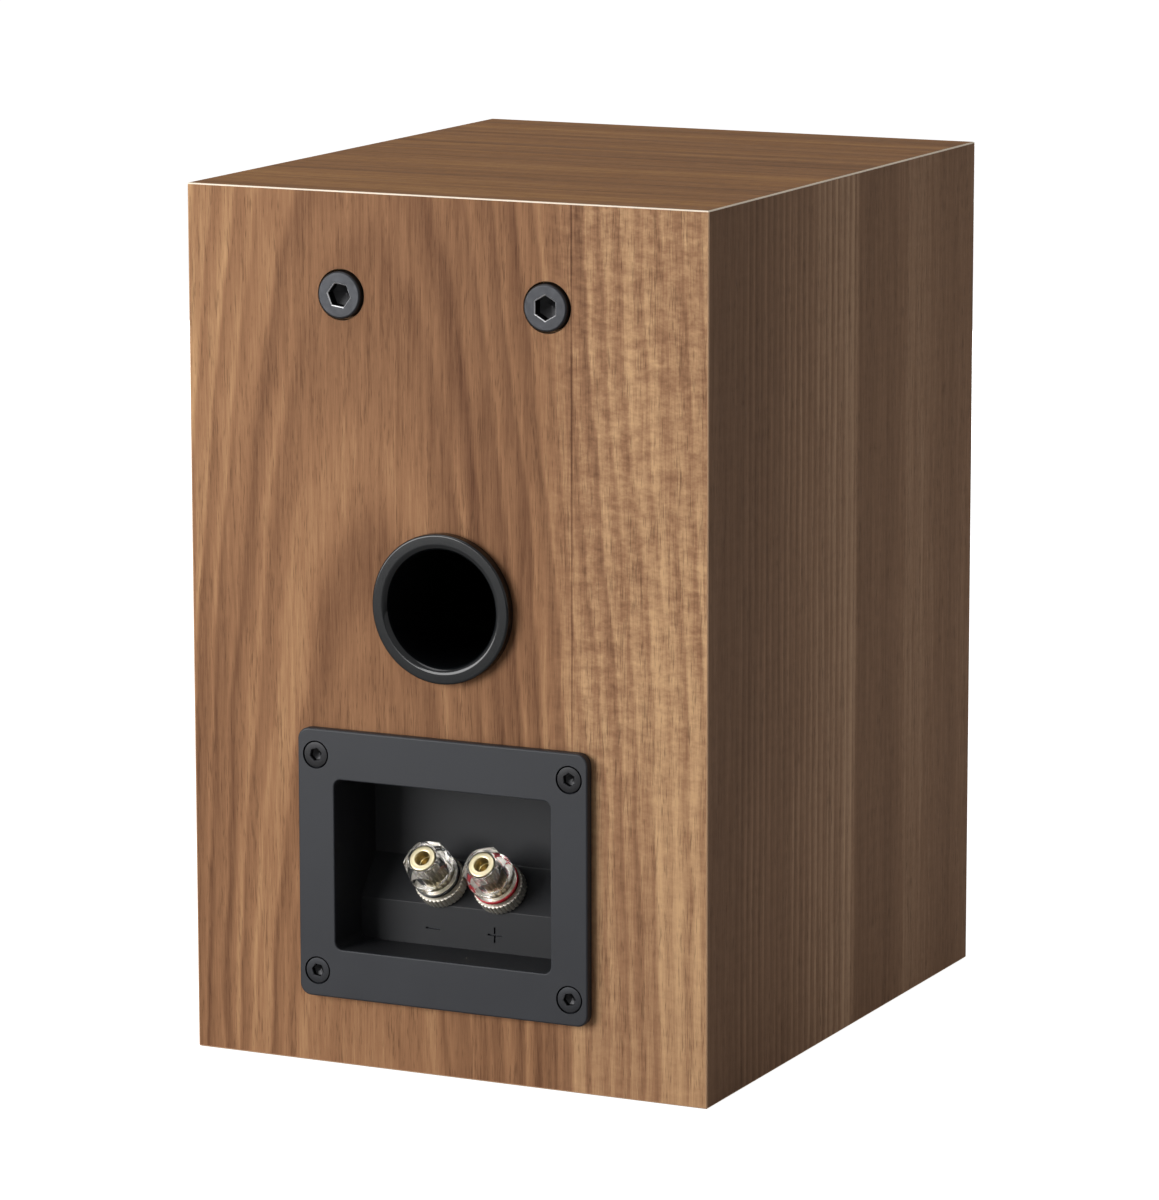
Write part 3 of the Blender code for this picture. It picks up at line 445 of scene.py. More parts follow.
def make_metal_group():
    group, given = start_group(
        "turned_metal",
        {"Place": (0.0, 0.0, 0.0), "Lines": 9.0, "Roughness": 0.25, "Stain": 0.1}, SURFACE_OUTPUTS,
    )
    lines = noise(given["Place"], given["Lines"], 3.0, stretch=(1, 0.06, 1))
    blotch = noise(given["Place"], 0.5, 3.0, 0.6)
    rough = given["Roughness"] + (blotch - 0.4) * given["Stain"]
    shade = blotch.ramp(0.3, 0.8, 1.04, 0.86)
    node(group, "NodeGroupOutput", {"Height": lines, "Roughness": rough, "Shade": shade})
    return group


MOULDED, METAL = make_moulded_group(), make_metal_group()
print("groups:", [g.name for g in bpy.data.node_groups])

# %% [markdown]
# ## Finishes
#
# Every finish is a Principled shader. One short function starts it, and constants go straight onto the
# shader's own sockets. Places are read from the object's own coordinates, which here are metres in the
# frame, and are turned to millimetres before a group uses them.


# %% Starting a finish
def srgb(red, green, blue):
    """A colour as it is read from a screen, turned to light."""
    def light(value):
        value /= 255
        return value / 12.92 if value <= 0.04045 else ((value + 0.055) / 1.055) ** 2.4
    return tuple(light(v) for v in (red, green, blue))


def start_finish(name, **constants):
    finish = bpy.data.materials.new(name)
    finish.use_nodes = True
    tree = finish.node_tree
    shader = tree.nodes["Principled BSDF"]
    feed(tree, shader, {label.replace("_", " "): value for label, value in constants.items()})
    return finish, tree, shader


def in_mm(tree):
    """The point being shaded, in millimetres of the frame."""
    place = node(tree, "ShaderNodeTexCoord").outputs["Object"]
    return Signal(tree, node(tree, "ShaderNodeVectorMath", {0: place, "Scale": 1 / MM}, operation="SCALE"))


def use_group(tree, group, inputs):
    return signals(tree, node(tree, "ShaderNodeGroup", inputs, node_tree=group))


def bump(tree, height, depth_mm, strength=1.0):
    inputs = {"Height": height, "Distance": depth_mm * MM, "Strength": strength}
    return Signal(tree, node(tree, "ShaderNodeBump", inputs))


def plain_finish(name, colour, group, depth_mm, numbers, **constants):
    """A finish that is one colour, with the unevenness of a shared group."""
    finish, tree, shader = start_finish(name, **constants)
    out = use_group(tree, group, {"Place": in_mm(tree), **numbers})
    tint = node(tree, "ShaderNodeCombineColor", {channel: out["Shade"] for channel in range(3)})
    feed(tree, shader, {
        "Base Color": blend(tree, 1.0, (*srgb(*colour), 1), tint.outputs[0], "MULTIPLY"),
        "Roughness": out["Roughness"],
        "Normal": bump(tree, out["Height"], depth_mm),
    })
    return finish


def moulded(name, colour, depth_mm, grain, roughness, spread, **constants):
    numbers = {"Grain": grain, "Roughness": roughness, "Spread": spread}
    return plain_finish(name, colour, MOULDED, depth_mm, numbers, **constants)


def metal(name, colour, depth_mm, lines, roughness, stain, metallic=1.0):
    numbers = {"Lines": lines, "Roughness": roughness, "Stain": stain}
    return plain_finish(name, colour, METAL, depth_mm, numbers, Metallic=metallic)


print("finish helpers ready")

# %% [markdown]
# ### Walnut veneer
#
# The outer faces carry three kinds of veneer. The rear has arches in the middle, stripes on one side and a
# cloudy shimmer on the other. The sides are quarter-cut, which gives straight, close lines, and two leaves
# meet in each. The top's grain runs from side to side. One function makes all three from the wood group, and
# each veneer adds what is its own: where it is light or dark, where its leaves meet, which ring stands out.


# %% The veneer function
def swung(tone, *parts):
    """A tone, with each (signal, strength) swinging it about the signal's middle."""
    for signal, strength in parts:
        tone = tone + (signal - 0.5) * strength
    return tone


def veneer(name, across_axes, along_axis, figure, browns, own_tone):
    """Veneer in three browns. own_tone gets both places and the wood, and returns a tone and a tint."""
    finish, tree, shader = start_finish(name, Specular_IOR_Level=0.06)
    axes = signals(tree, node(tree, "ShaderNodeSeparateXYZ", {0: in_mm(tree)}))
    across, along = axes[across_axes[0]], axes[along_axis]
    for other in across_axes[1:]:
        across = across + axes[other]
    wood = use_group(tree, WOOD, {"Across": across, "Along": along, **figure})
    tone, tint_share, tint = own_tone(across, along, wood)
    ramp = node(tree, "ShaderNodeValToRGB", {"Fac": tone})
    dark, mid, light = (srgb(*brown) for brown in browns)
    stops = ramp.color_ramp.elements
    stops[0].position, stops[0].color = 0.1, (*dark, 1)
    stops[1].position, stops[1].color = 0.9, (*light, 1)
    stops.new(0.5).color = (*mid, 1)
    tinted = blend(tree, 1.0, ramp.outputs["Color"], blend(tree, tint_share, WHITE, tint), "MULTIPLY")
    feed(tree, shader, {
        "Base Color": blend(tree, wood["Pores"] * 0.45, tinted, (*[v * 0.5 for v in dark], 1)),
        "Roughness": wood["Fibre"].ramp(0.3, 0.7, 0.58, 0.46),
        "Normal": bump(tree, wood["Fibre"] - wood["Pores"] * 0.9, 0.03, 0.7),
    })
    return finish


print("veneer function ready")

# %% [markdown]
# #### The rear's veneer
#
# Its arches spring from a heart left of the middle. One pale ring and the dark one inside it stand out.
# Right of a fine joint line the wood is yellower, and shimmers.

# %% Rear veneer
REAR_HEART, PALE_RING, DARK_RING, LEAF_LINE = 25.0, 41.0, 35.5, -40.0  # millimetres
YELLOWER = (1.0, 1.04, 1.10, 1)


def rear_tone(across, along, wood):
    side = (WIDTH / 2 / MM - across) / (WIDTH / MM)
    up = along / (HEIGHT / MM)
    high = side.levels(
        (0, 0.64), (1, 0.64), (0.12, 0.58), (0.22, 0.43), (0.40, 0.38), (0.66, 0.41), (0.80, 0.63)
    )
    low = side.levels(
        (0, 0.46), (1, 0.68), (0.12, 0.48), (0.30, 0.46), (0.50, 0.45), (0.70, 0.48), (0.86, 0.67)
    )
    tone = blend(up.tree, up.ramp(0.25, 0.85, smooth=True), low, high)
    outer = abs(across - REAR_HEART)
    tone = tone + (wood["Rings"] - 0.5) * outer.ramp(16, 46, 0.08, 0.27)
    tone = swung(tone, (wood["Bands"], 0.7), (wood["Fibre"], 0.95))
    shown = up.ramp(0.86, 0.62, smooth=True) * across.ramp(-10.0, 10.0, smooth=True)
    pale = wood["Distance"].near(PALE_RING, 4.5) * 0.17
    dark = wood["Distance"].near(DARK_RING, 3.0) * 0.05
    tone = tone + (pale - dark) * shown
    cloudy = across.ramp(-26.0, -48.0, 0.06, 1.0, smooth=True)
    shimmer = cloudy * up.ramp(0.15, 0.55, 0.35, 1.0, smooth=True)
    tone = swung(tone, (wood["Mottle"], shimmer * 1.05))
    line = across.near(LEAF_LINE, 0.45) * up.ramp(0.36, 0.42)
    return tone - line * 0.35, cloudy, YELLOWER


REAR_VENEER = veneer(
    "walnut_rear", "X", "Z",
    {"Heart": REAR_HEART, "Tilt": 0.125, "Foot": -135.0, "Ring": 5.2, "Wander": 4.0, "Seed": 3.0},
    ((100, 66, 46), (155, 113, 81), (204, 161, 117)), rear_tone,
)
print("rear veneer:", REAR_VENEER.name)

# %% [markdown]
# #### The veneer of the sides and the top
#
# Two leaves meet on each side, a little in front of its middle. The rear leaf has close straight lines and
# gets paler towards the joint; the front one is smoother. The top is warm and streaked.

# %% Side and top veneer
LEAF_JOINT = 0.54  # share of the depth, from the rear edge


def side_tone(across, along, wood):
    from_rear = (REAR_Y / MM - WIDTH / 2 / MM - across) / ((REAR_Y - FRONT_Y) / MM)
    broad = from_rear.levels(
        (0, 0.36), (1, 0.47), (0.10, 0.36), (0.115, 0.34), (0.30, 0.45), (LEAF_JOINT - 0.03, 0.64),
        (LEAF_JOINT - 0.004, 0.60), (LEAF_JOINT + 0.004, 0.42), (0.68, 0.41), (0.75, 0.56), (0.80, 0.55),
        (0.86, 0.46),
    )
    lined = from_rear.ramp(0.095, 0.105) * from_rear.ramp(LEAF_JOINT, LEAF_JOINT - 0.01)
    tone = broad + (wood["Rings"] - 0.4) * lined.ramp(0, 1, 0.05, 0.22)
    return swung(tone, (wood["Fibre"], 0.55), (wood["Mottle"], 0.16), (wood["Bands"], 0.2)), 0.0, WHITE


def top_tone(across, along, wood):
    parts = (wood["Rings"], 0.14), (wood["Bands"], 0.9), (wood["Mottle"], 0.35), (wood["Fibre"], 0.7)
    return swung(0.5, *parts), 0.0, WHITE


SIDE_VENEER = veneer(
    "walnut_side", "YX", "Z",
    {"Heart": -400.0, "Tilt": 0.02, "Foot": 0.0, "Ring": 4.2, "Wander": 0.7, "Seed": 21.0},
    ((84, 61, 46), (138, 107, 84), (192, 158, 128)), side_tone,
)
TOP_VENEER = veneer(
    "walnut_top", "YZ", "X",
    {"Heart": -220.0, "Tilt": 0.04, "Foot": 0.0, "Ring": 9.0, "Wander": 3.5, "Seed": 12.0},
    ((105, 67, 31), (147, 100, 53), (184, 133, 72)), top_tone,
)
print("veneers:", SIDE_VENEER.name, TOP_VENEER.name)

# %% [markdown]
# ### The other finishes
#
# Where veneer wraps a corner its thin outer layer is sanded through, which leaves a pale line; on the edges
# that face up the line is made near-white, which paints their highlight too. Inside, the boards are bare
# fibreboard. The rest are the plastics, metals and cloths of the fittings.
#
# The numbers after each colour are the depth of the surface's relief in millimetres, the fineness of its
# grain or of its lines, its roughness, and how much that varies.

# %% Plastics, metals and cloths
# Near-white for the edges that face up: a sanded veneer edge, and a painted highlight.
EDGE_HIGHLIGHT = moulded("sanded_edge", (252, 236, 214), 0.01, 0.3, 0.5, 0.1)
SOFT_EDGE = moulded("rubbed_edge", (190, 150, 114), 0.01, 0.3, 0.5, 0.1)
FIBREBOARD = moulded("fibreboard", (150, 116, 82), 0.05, 0.4, 0.85, 0.08)
LACQUER = moulded("black_lacquer", (36, 36, 38), 0.012, 0.35, 0.42, 0.08)
PLATE_PLASTIC = moulded("satin_plastic", (39, 41, 46), 0.02, 0.22, 0.46, 0.10, Specular_IOR_Level=0.35)
# The same plastic made darker for the deeper faces of the recess: painted shade.
SHADED_RECESS_PLASTIC = moulded("recess_plastic", (27, 28, 31), 0.02, 0.22, 0.52, 0.10, Specular_IOR_Level=0.35)
GLOSS_PLASTIC = moulded("gloss_plastic", (17, 19, 21), 0.004, 0.6, 0.13, 0.04, Specular_IOR_Level=0.4)
RED_BAND = moulded("red_band", (176, 14, 30), 0.002, 0.5, 0.25, 0.05)
BLACK_BAND = moulded("black_band", (20, 20, 20), 0.002, 0.5, 0.25, 0.05)
RUBBER = moulded("rubber", (24, 24, 25), 0.01, 0.4, 0.55, 0.1)
PAPER = moulded("cone_paper", (50, 50, 52), 0.05, 0.5, 0.62, 0.15)
SILK = moulded("coated_silk", (30, 30, 32), 0.02, 0.18, 0.5, 0.1, Sheen_Weight=0.3)
SPIDER_CLOTH = moulded("spider_cloth", (188, 158, 104), 0.08, 0.4, 0.9, 0.05)
FERRITE = moulded("ferrite", (62, 62, 66), 0.03, 0.5, 0.6, 0.1)
BOARD_GREEN = moulded("solder_mask", (40, 96, 58), 0.01, 0.9, 0.4, 0.1)
FILM_YELLOW = moulded("film_wrap", (210, 170, 60), 0.01, 0.9, 0.35, 0.1)
WADDING = moulded("polyester_wadding", (226, 226, 222), 0.8, 1.6, 1.0, 0.0)
RED_WIRE = moulded("red_insulation", (170, 24, 30), 0.01, 0.7, 0.45, 0.08)
BLACK_WIRE = moulded("black_insulation", (28, 28, 30), 0.01, 0.7, 0.45, 0.08)
BLACK_STEEL = metal("blackened_steel", (50, 51, 54), 0.006, 6.0, 0.38, 0.25, metallic=0.75)
# Oiled steel for the drivers' screws; the same darker steel lines the inside of every socket, painted shade.
DARK_STEEL_AND_SHADE = metal("oiled_steel", (34, 34, 36), 0.006, 6.0, 0.34, 0.2, metallic=0.6)
# Pale steel for a socket's chamfer: worn steel, and a painted highlight.
SOCKET_HIGHLIGHT = metal("worn_steel", (226, 226, 228), 0.004, 5.0, 0.45, 0.1)
ZINC = metal("zinc", (176, 178, 182), 0.01, 4.0, 0.36, 0.2)
NICKEL = metal("nickel", (232, 226, 212), 0.004, 7.0, 0.38, 0.1, metallic=0.7)
GOLD = metal("gold_plate", (250, 236, 196), 0.003, 7.0, 0.30, 0.1)
COPPER = metal("copper_winding", (200, 120, 78), 0.05, 2.5, 0.3, 0.1)


def clear_acrylic():
    """Clear plastic: light passes and bends, with faint haze where the mould was worn."""
    finish, tree, shader = start_finish(
        "clear_acrylic", Base_Color=(0.93, 0.93, 0.95, 1), Transmission_Weight=1.0, IOR=1.16,
        Coat_Weight=0.8, Coat_Roughness=0.06,
    )
    out = use_group(tree, MOULDED, {"Place": in_mm(tree), "Grain": 1.4, "Roughness": 0.035, "Spread": 0.03})
    feed(tree, shader, {"Roughness": out["Roughness"], "Normal": bump(tree, out["Height"], 0.02, 0.5)})
    return finish


ACRYLIC = clear_acrylic()
print("finishes:", len(bpy.data.materials))

# %% [markdown]
# ## Shape helpers
#
# Most fittings are turned shapes, so one function spins a profile. A second one rounds the corners of an
# outline, because no real edge is sharp, and the small radii are what catches the light. A third lofts
# through loops of points, for rounded rectangles and hexagons.


# %% Outlines and solids
def rounded(corners, steps=4):
    """An outline whose corners, (x, y, radius), are rounded off."""
    outline = []
    for number, (x, y, radius) in enumerate(corners):
        here = Vector((x, y))
        if not radius:
            outline.append((x, y))
            continue
        back = (Vector(corners[number - 1][:2]) - here).normalized()
        ahead = (Vector(corners[(number + 1) % len(corners)][:2]) - here).normalized()
        half = back.angle(ahead) / 2
        centre = here + (back + ahead).normalized() * radius / math.sin(half)
        start = here + back * radius / math.tan(half) - centre
        sweep = math.pi - 2 * half
        if back.x * ahead.y - back.y * ahead.x > 0:
            sweep = -sweep
        for step in range(steps + 1):
            angle = sweep * step / steps
            outline.append((
                centre.x + start.x * math.cos(angle) - start.y * math.sin(angle),
                centre.y + start.x * math.sin(angle) + start.y * math.cos(angle),
            ))
    return outline


def stand(name, form, finish, place=None):
    """Makes an object of a form, closed and facing outwards, and puts it in its place."""
    bmesh.ops.remove_doubles(form, verts=form.verts, dist=1e-7)
    bmesh.ops.recalc_face_normals(form, faces=form.faces)
    mesh = bpy.data.meshes.new(name)
    form.to_mesh(mesh)
    form.free()
    if place:
        mesh.transform(place)
    mesh.materials.append(finish)
    made = bpy.data.objects.new(name, mesh)
    bpy.context.scene.collection.objects.link(made)
    return made


def lathe(profile, steps=96, ripple=None):
    """Spins (radius, height) points about Z: a solid from axis to axis, or a ring."""
    form = bmesh.new()
    rows = []
    for radius, height in profile:
        if radius < 1e-7:
            rows.append([form.verts.new((0, 0, height))])
            continue
        row = []
        for step in range(steps):
            angle = 2 * math.pi * step / steps
            reach = ripple(angle, radius, height) if ripple else radius
            row.append(form.verts.new((reach * math.cos(angle), reach * math.sin(angle), height)))
        rows.append(row)
    pairs = list(zip(rows, rows[1:]))
    if len(rows[0]) > 1:
        pairs.append((rows[-1], rows[0]))
    for one, two in pairs:
        for step in range(steps):
            ahead = (step + 1) % steps
            corners = dict.fromkeys(
                row[turn % len(row)] for row, turn in ((one, step), (one, ahead), (two, ahead), (two, step))
            )
            if len(corners) > 2:
                form.faces.new(list(corners))
    return form


def plug(radius, low, high, steps=48):
    """A plain cylinder from one height to another, to cut holes with."""
    return lathe([(0, low), (radius, low), (radius, high), (0, high)], steps)


def ring(inner, outer, low, high, inner_edge, outer_edge):
    """Profile of a rectangular ring whose edges are rounded."""
    return rounded([
        (inner, low, inner_edge), (outer, low, outer_edge),
        (outer, high, outer_edge), (inner, high, inner_edge),
    ])


def loft(loops):
    """A solid through loops that have the same number of points, with both ends closed."""
    form = bmesh.new()
    rows = [[form.verts.new(point) for point in loop] for loop in loops]
    for one, two in zip(rows, rows[1:]):
        for number in range(len(one)):
            ahead = (number + 1) % len(one)
            form.faces.new((one[number], one[ahead], two[ahead], two[number]))
    form.faces.new(rows[0][::-1])
    form.faces.new(rows[-1])
    return form


def block(low, high, edge=0.0, segments=3):
    """A box between two corners, its edges rounded where a radius is given."""
    form = bmesh.new()
    bmesh.ops.create_cube(form, size=1)
    for vertex in form.verts:
        vertex.co = [a + (part + 0.5) * (b - a) for a, b, part in zip(low, high, vertex.co)]
    if edge:
        round_off = dict(offset=edge, segments=segments, affect="EDGES", profile=0.5)
        bmesh.ops.bevel(form, geom=form.edges[:], **round_off)
    return form


def rounded_rectangle(wide, tall, corner, y, level=0.0):
    """A loop in a plane of constant Y, centred on X = 0 and on a level."""
    corners = [(sx * wide / 2, sz * tall / 2, corner) for sx, sz in ((1, -1), (1, 1), (-1, 1), (-1, -1))]
    return [(x, y, z + level) for x, z in rounded(corners, 8)]


def hexagon(across, height, turn):
    """A loop at one height, by its width across the flats."""
    reach = across / 2 / math.cos(math.pi / 6)
    angles = [turn + 2 * math.pi * side / 6 for side in range(6)]
    return [(reach * math.cos(a), reach * math.sin(a), height) for a in angles]


def shape(body, tool, operation="DIFFERENCE"):
    """Cuts one object with another, or joins them. The tool is used up."""
    modifier = body.modifiers.new("shape", "BOOLEAN")
    modifier.operation, modifier.solver, modifier.object = operation, "EXACT", tool
    bpy.context.view_layer.update()
    graph = bpy.context.evaluated_depsgraph_get()
    result = bpy.data.meshes.new_from_object(body.evaluated_get(graph))
    body.modifiers.clear()
    old, body.data = body.data, result
    bpy.data.meshes.remove(old)
    bpy.data.objects.remove(tool)
    return body


def cut(body, form, finish, place=None, operation="DIFFERENCE"):
    """Cuts an object with a form, or joins the form to it."""
    return shape(body, stand("tool", form, finish, place), operation)


def dress(piece, slot, *nodes, body="root", crease=38):
    """Smooths the shading up to a crease, hides the nodes that the piece stands in for, and hangs it on its
    body.
    """
    piece.data.shade_smooth()
    piece.data.set_sharp_from_angle(angle=math.radians(crease))
    even = piece.modifiers.new("even_shading", "WEIGHTED_NORMAL")
    even.keep_sharp = True
    if nodes:
        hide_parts(*nodes)
    if body:
        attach(piece, body)
    return piece


def outward(x, z, y=None):
    """Local Z points out of the rear face (and, from the front baffle, into the cabinet)."""
    return Matrix.Translation((x, REAR_Y if y is None else y, z)) @ Matrix.Rotation(-math.pi / 2, 4, "X")


def inward(x, z):
    """Local Z points out of the front baffle."""
    return Matrix.Translation((x, FRONT_Y, z)) @ Matrix.Rotation(math.pi / 2, 4, "X")


# %% [markdown]
# ## The cabinet
#
# The veneer wraps the cabinet with no visible seam, so the five mitred panels become one shell with a hair
# of rounding on its edges. Each face then gets its own veneer. The rounded edges of the top are sanded to a
# pale line that is made near-white, a painted highlight as well, and the upright ones hardly show.

# %% Shell with its openings
EDGE = 0.0004
NEAR_FACE = 0.0008  # faces closer to the outside than this belong to it
INNER_X = WIDTH / 2 - WALL
PORT_HOLE_R, CUP_HOLE_WIDE, CUP_HOLE_TALL = 0.0193, 0.0742, 0.0553
BOLTS = {word: middle(f"wall_bolt_{word}") for word in ("left", "right")}
CUP_LOW, CUP_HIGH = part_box("terminal_cup")
PLATE_WIDE, PLATE_TALL = CUP_HIGH.x - CUP_LOW.x, CUP_HIGH.z - CUP_LOW.z


def shell_finish(spot, facing):
    """The finish of one face of the shell, by its place and direction."""
    inside = (
        abs(spot.x) < WIDTH / 2 - NEAR_FACE and NEAR_FACE < spot.z < HEIGHT - NEAR_FACE
        and FRONT_Y + NEAR_FACE < spot.y < REAR_Y - NEAR_FACE
    )
    if inside:
        return FIBREBOARD
    if max(abs(part) for part in facing) <= 0.999:
        # Edges that face up take the near-white line, a sanded edge and a painted highlight; the rest take a
        # dimmer rubbed edge.
        return EDGE_HIGHLIGHT if facing.z > 0.2 else SOFT_EDGE
    end_of_level_panel = facing.y < -0.9 and not WALL <= spot.z <= HEIGHT - WALL
    if abs(facing.z) > 0.9 or end_of_level_panel:
        return TOP_VENEER
    return REAR_VENEER if facing.y > 0.9 else SIDE_VENEER


def cabinet_shell():
    shell = stand("cabinet_shell", block((LOW.x, FRONT_Y, 0), (HIGH.x, REAR_Y, HEIGHT), EDGE), REAR_VENEER)
    hollow = block((-INNER_X, FRONT_Y - 0.01, WALL), (INNER_X, REAR_Y - WALL, HEIGHT - WALL))
    cut(shell, hollow, FIBREBOARD)
    cut(shell, plug(PORT_HOLE_R, -0.02, 0.01, 96), FIBREBOARD, outward(PORT.x, PORT.z))
    for spot in BOLTS.values():
        bore = [(0, -0.02), (0.006, -0.02), (0.006, -0.0034), (0.0074, -0.0034), (0.0074, 0.01), (0, 0.01)]
        cut(shell, lathe(bore, 64), FIBREBOARD, outward(spot.x, spot.z))
    wide, tall = CUP_HOLE_WIDE / 2, CUP_HOLE_TALL / 2
    window = block((-wide, REAR_Y - WALL - 0.01, PLATE.z - tall), (wide, REAR_Y + 0.01, PLATE.z + tall))
    cut(shell, window, FIBREBOARD)
    for finish in (REAR_VENEER, SIDE_VENEER, TOP_VENEER, EDGE_HIGHLIGHT, SOFT_EDGE, FIBREBOARD):
        if finish.name not in shell.data.materials:
            shell.data.materials.append(finish)
    index = {finish.name: number for number, finish in enumerate(shell.data.materials)}
    for face in shell.data.polygons:
        face.material_index = index[shell_finish(face.center, face.normal).name]
    panels = ("left_panel", "right_panel", "top_panel", "bottom_panel", "rear_panel")
    return dress(shell, "walnut", *panels)


SHELL = cabinet_shell()
print("shell faces:", len(SHELL.data.polygons))

# %% [markdown]
# ## Fittings of the rear: port and wall bolts
#
# The port's flange is one rolled lip that turns into the throat. A wall bolt has a flat face with a rounded
# rim, and a hex socket whose mouth is broken by a fine chamfer: that chamfer is the bright line in it, pale
# steel that paints its highlight, and the socket's inside is darker steel, painted shade.


# %% Port and bolts
def turned_piece(name, profile, finish, slot, place, body="root", steps=96, ripple=None):
    """A turned shape that stands for the CAD node of the same name."""
    return dress(stand(name, lathe(profile, steps, ripple), finish, place), slot, name, body=body)


def port():
    flange, throat, wall, proud, mouth_r = 0.0217, 0.0170, 0.0018, 0.0034, 0.0019
    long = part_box("port_tube")[1].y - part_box("port_tube")[0].y - proud
    lip = throat + mouth_r
    profile = rounded([(flange, 0.0003, 0), (flange, proud, 0.0007), (lip, proud, 0)], 8)[:-1]
    turns = [math.radians(angle) for angle in range(90, 181, 6)]
    profile += [(lip + mouth_r * math.cos(a), proud - mouth_r + mouth_r * math.sin(a)) for a in turns]
    profile += rounded([
        (throat, -long, 0.0006), (throat + wall, -long, 0.0006), (throat + wall, 0.0003, 0),
    ])
    place = outward(PORT.x, PORT.z)
    turned_piece("port_tube", profile, GLOSS_PLASTIC, "gloss_black", place, steps=160)


def socket_cutter(across, deep, turn):
    """A hexagonal hole, its mouth broken and its floor pointed by the drill."""
    chamfer = 0.00026
    wider = across + 2 * chamfer
    return loft([
        hexagon(across * 0.10, -deep - across * 0.22, turn), hexagon(across, -deep, turn),
        hexagon(across, -chamfer, turn), hexagon(wider + 0.0006, 0.0003, turn),
    ])


def socket_screw(name, profile, across, deep, turn, finish, place, rim=None, steps=64):
    """A screw whose head's face is at local zero, with a hex socket. The socket's rim may take a brighter
    finish, which paints its highlight, and the socket's inside takes darker steel, painted shade.
    """
    screw = stand(name, lathe(profile, steps), finish, place)
    cutter = stand("socket", socket_cutter(across, deep, turn), finish, place)
    for piece in (screw, cutter):
        piece.data.materials.append(rim or finish)
        piece.data.materials.append(DARK_STEEL_AND_SHADE)
    face_at = place.translation
    out = (place.to_3x3() @ Vector((0, 0, 1))).normalized()
    # Faces deeper in the socket take the darker steel: painted shade.
    for face in cutter.data.polygons:
        face.material_index = 1 if (face.center - face_at).dot(out) > -0.0003 else 2
    shape(screw, cutter)
    dress(screw, "black_steel", name)


def thread(radius, start, end, pitch, depth):
    """Profile points of a row of threads, from one height down to another."""
    points, height = [], start
    while height - pitch > end:
        points += [(radius, height), (radius - depth, height - pitch / 2)]
        height -= pitch
    return points + [(radius, height)]


def wall_bolts():
    head, proud, tall, shank = 0.0068, 0.0014, 0.0046, 0.0040
    profile = rounded([(0, 0, 0), (head, 0, 0.0007), (head, -tall, 0.0003), (shank, -tall, 0)], 6)
    profile += thread(shank, -tall - 0.0004, -tall - 0.0152, 0.00125, 0.0007)
    profile += [(shank - 0.0008, -tall - 0.0160), (0, -tall - 0.0160)]
    for (word, spot), turn in zip(BOLTS.items(), (-8, 30)):
        place = outward(spot.x, spot.z, REAR_Y + proud)
        # The sockets' chamfers take the pale steel, a painted highlight.
        socket_screw(
            f"wall_bolt_{word}", profile, 0.0063, 0.0034, math.radians(turn), BLACK_STEEL, place,
            SOCKET_HIGHLIGHT, 96,
        )


port()
wall_bolts()
print("rear fittings done")

# %% [markdown]
# ## The terminal cup
#
# One moulding: a plate with rounded corners and a window in it, and behind the window a recess. Seen from the
# side, the recess has a back wall, a slope that carries the posts and an upright face below the slope. The
# pocket is the meeting of two simple solids: a rounded rectangle driven in from the front, and that side
# outline drawn out sideways. Its mouth flares, which gives the thin light line round the window.

# %% Cup, seal and screws
WINDOW_WIDE, WINDOW_TALL, WINDOW_CORNER = 0.0692, 0.0503, 0.0022
WINDOW_LOW, WINDOW_HIGH = PLATE.z - WINDOW_TALL / 2, PLATE.z + WINDOW_TALL / 2
PLATE_Y = CUP_HIGH.y
CUP_WALL = 0.0022
BACK_DEEP = PLATE_Y - CUP_LOW.y - CUP_WALL  # plate's face to the back wall
SHELF_DEEP = BACK_DEEP - 0.0092
TILT = math.radians(38)
ROD = middle("post_rod_negative")
POST_AXIS = Vector((0, math.cos(TILT), math.sin(TILT)))


def side_outline(grow, mouth, corner):
    """The recess seen from the side, as (y, z) corners; grow moves it outwards by the wall."""
    back, shelf = PLATE_Y - BACK_DEEP - grow, PLATE_Y - SHELF_DEEP - grow
    on_axis = ROD - POST_AXIS * 0.00025

    def slope(y):
        return on_axis.z - (grow + math.cos(TILT) * (y - on_axis.y)) / math.sin(TILT)

    low, high = WINDOW_LOW - mouth, WINDOW_HIGH + mouth
    return rounded([
        (PLATE_Y + 0.003, high, 0), (back, high, corner), (back, slope(back), corner),
        (shelf, slope(shelf), corner), (shelf, low, corner), (PLATE_Y + 0.003, low, 0),
    ], 4)


def drawn_across(outline, half_wide):
    return loft([[(x, y, z) for y, z in outline] for x in (-half_wide, half_wide)])


def plate_loop(wide, tall, corner, grow, y):
    """A rounded rectangle round the plate's middle, grown on every side."""
    return rounded_rectangle(wide + 2 * grow, tall + 2 * grow, corner + grow, y, PLATE.z)


def rolled_edge(wide, tall, corner, radius, grows):
    """Loops that turn from a side face to the plate's face, growing (1) or shrinking (-1)."""
    loops = []
    for turn in [math.radians(angle) for angle in range(0, 91, 15)]:
        grow, y = grows * radius * (1 - math.cos(turn)), PLATE_Y - radius + radius * math.sin(turn)
        loops.append(plate_loop(wide, tall, corner, grow, y))
    return loops


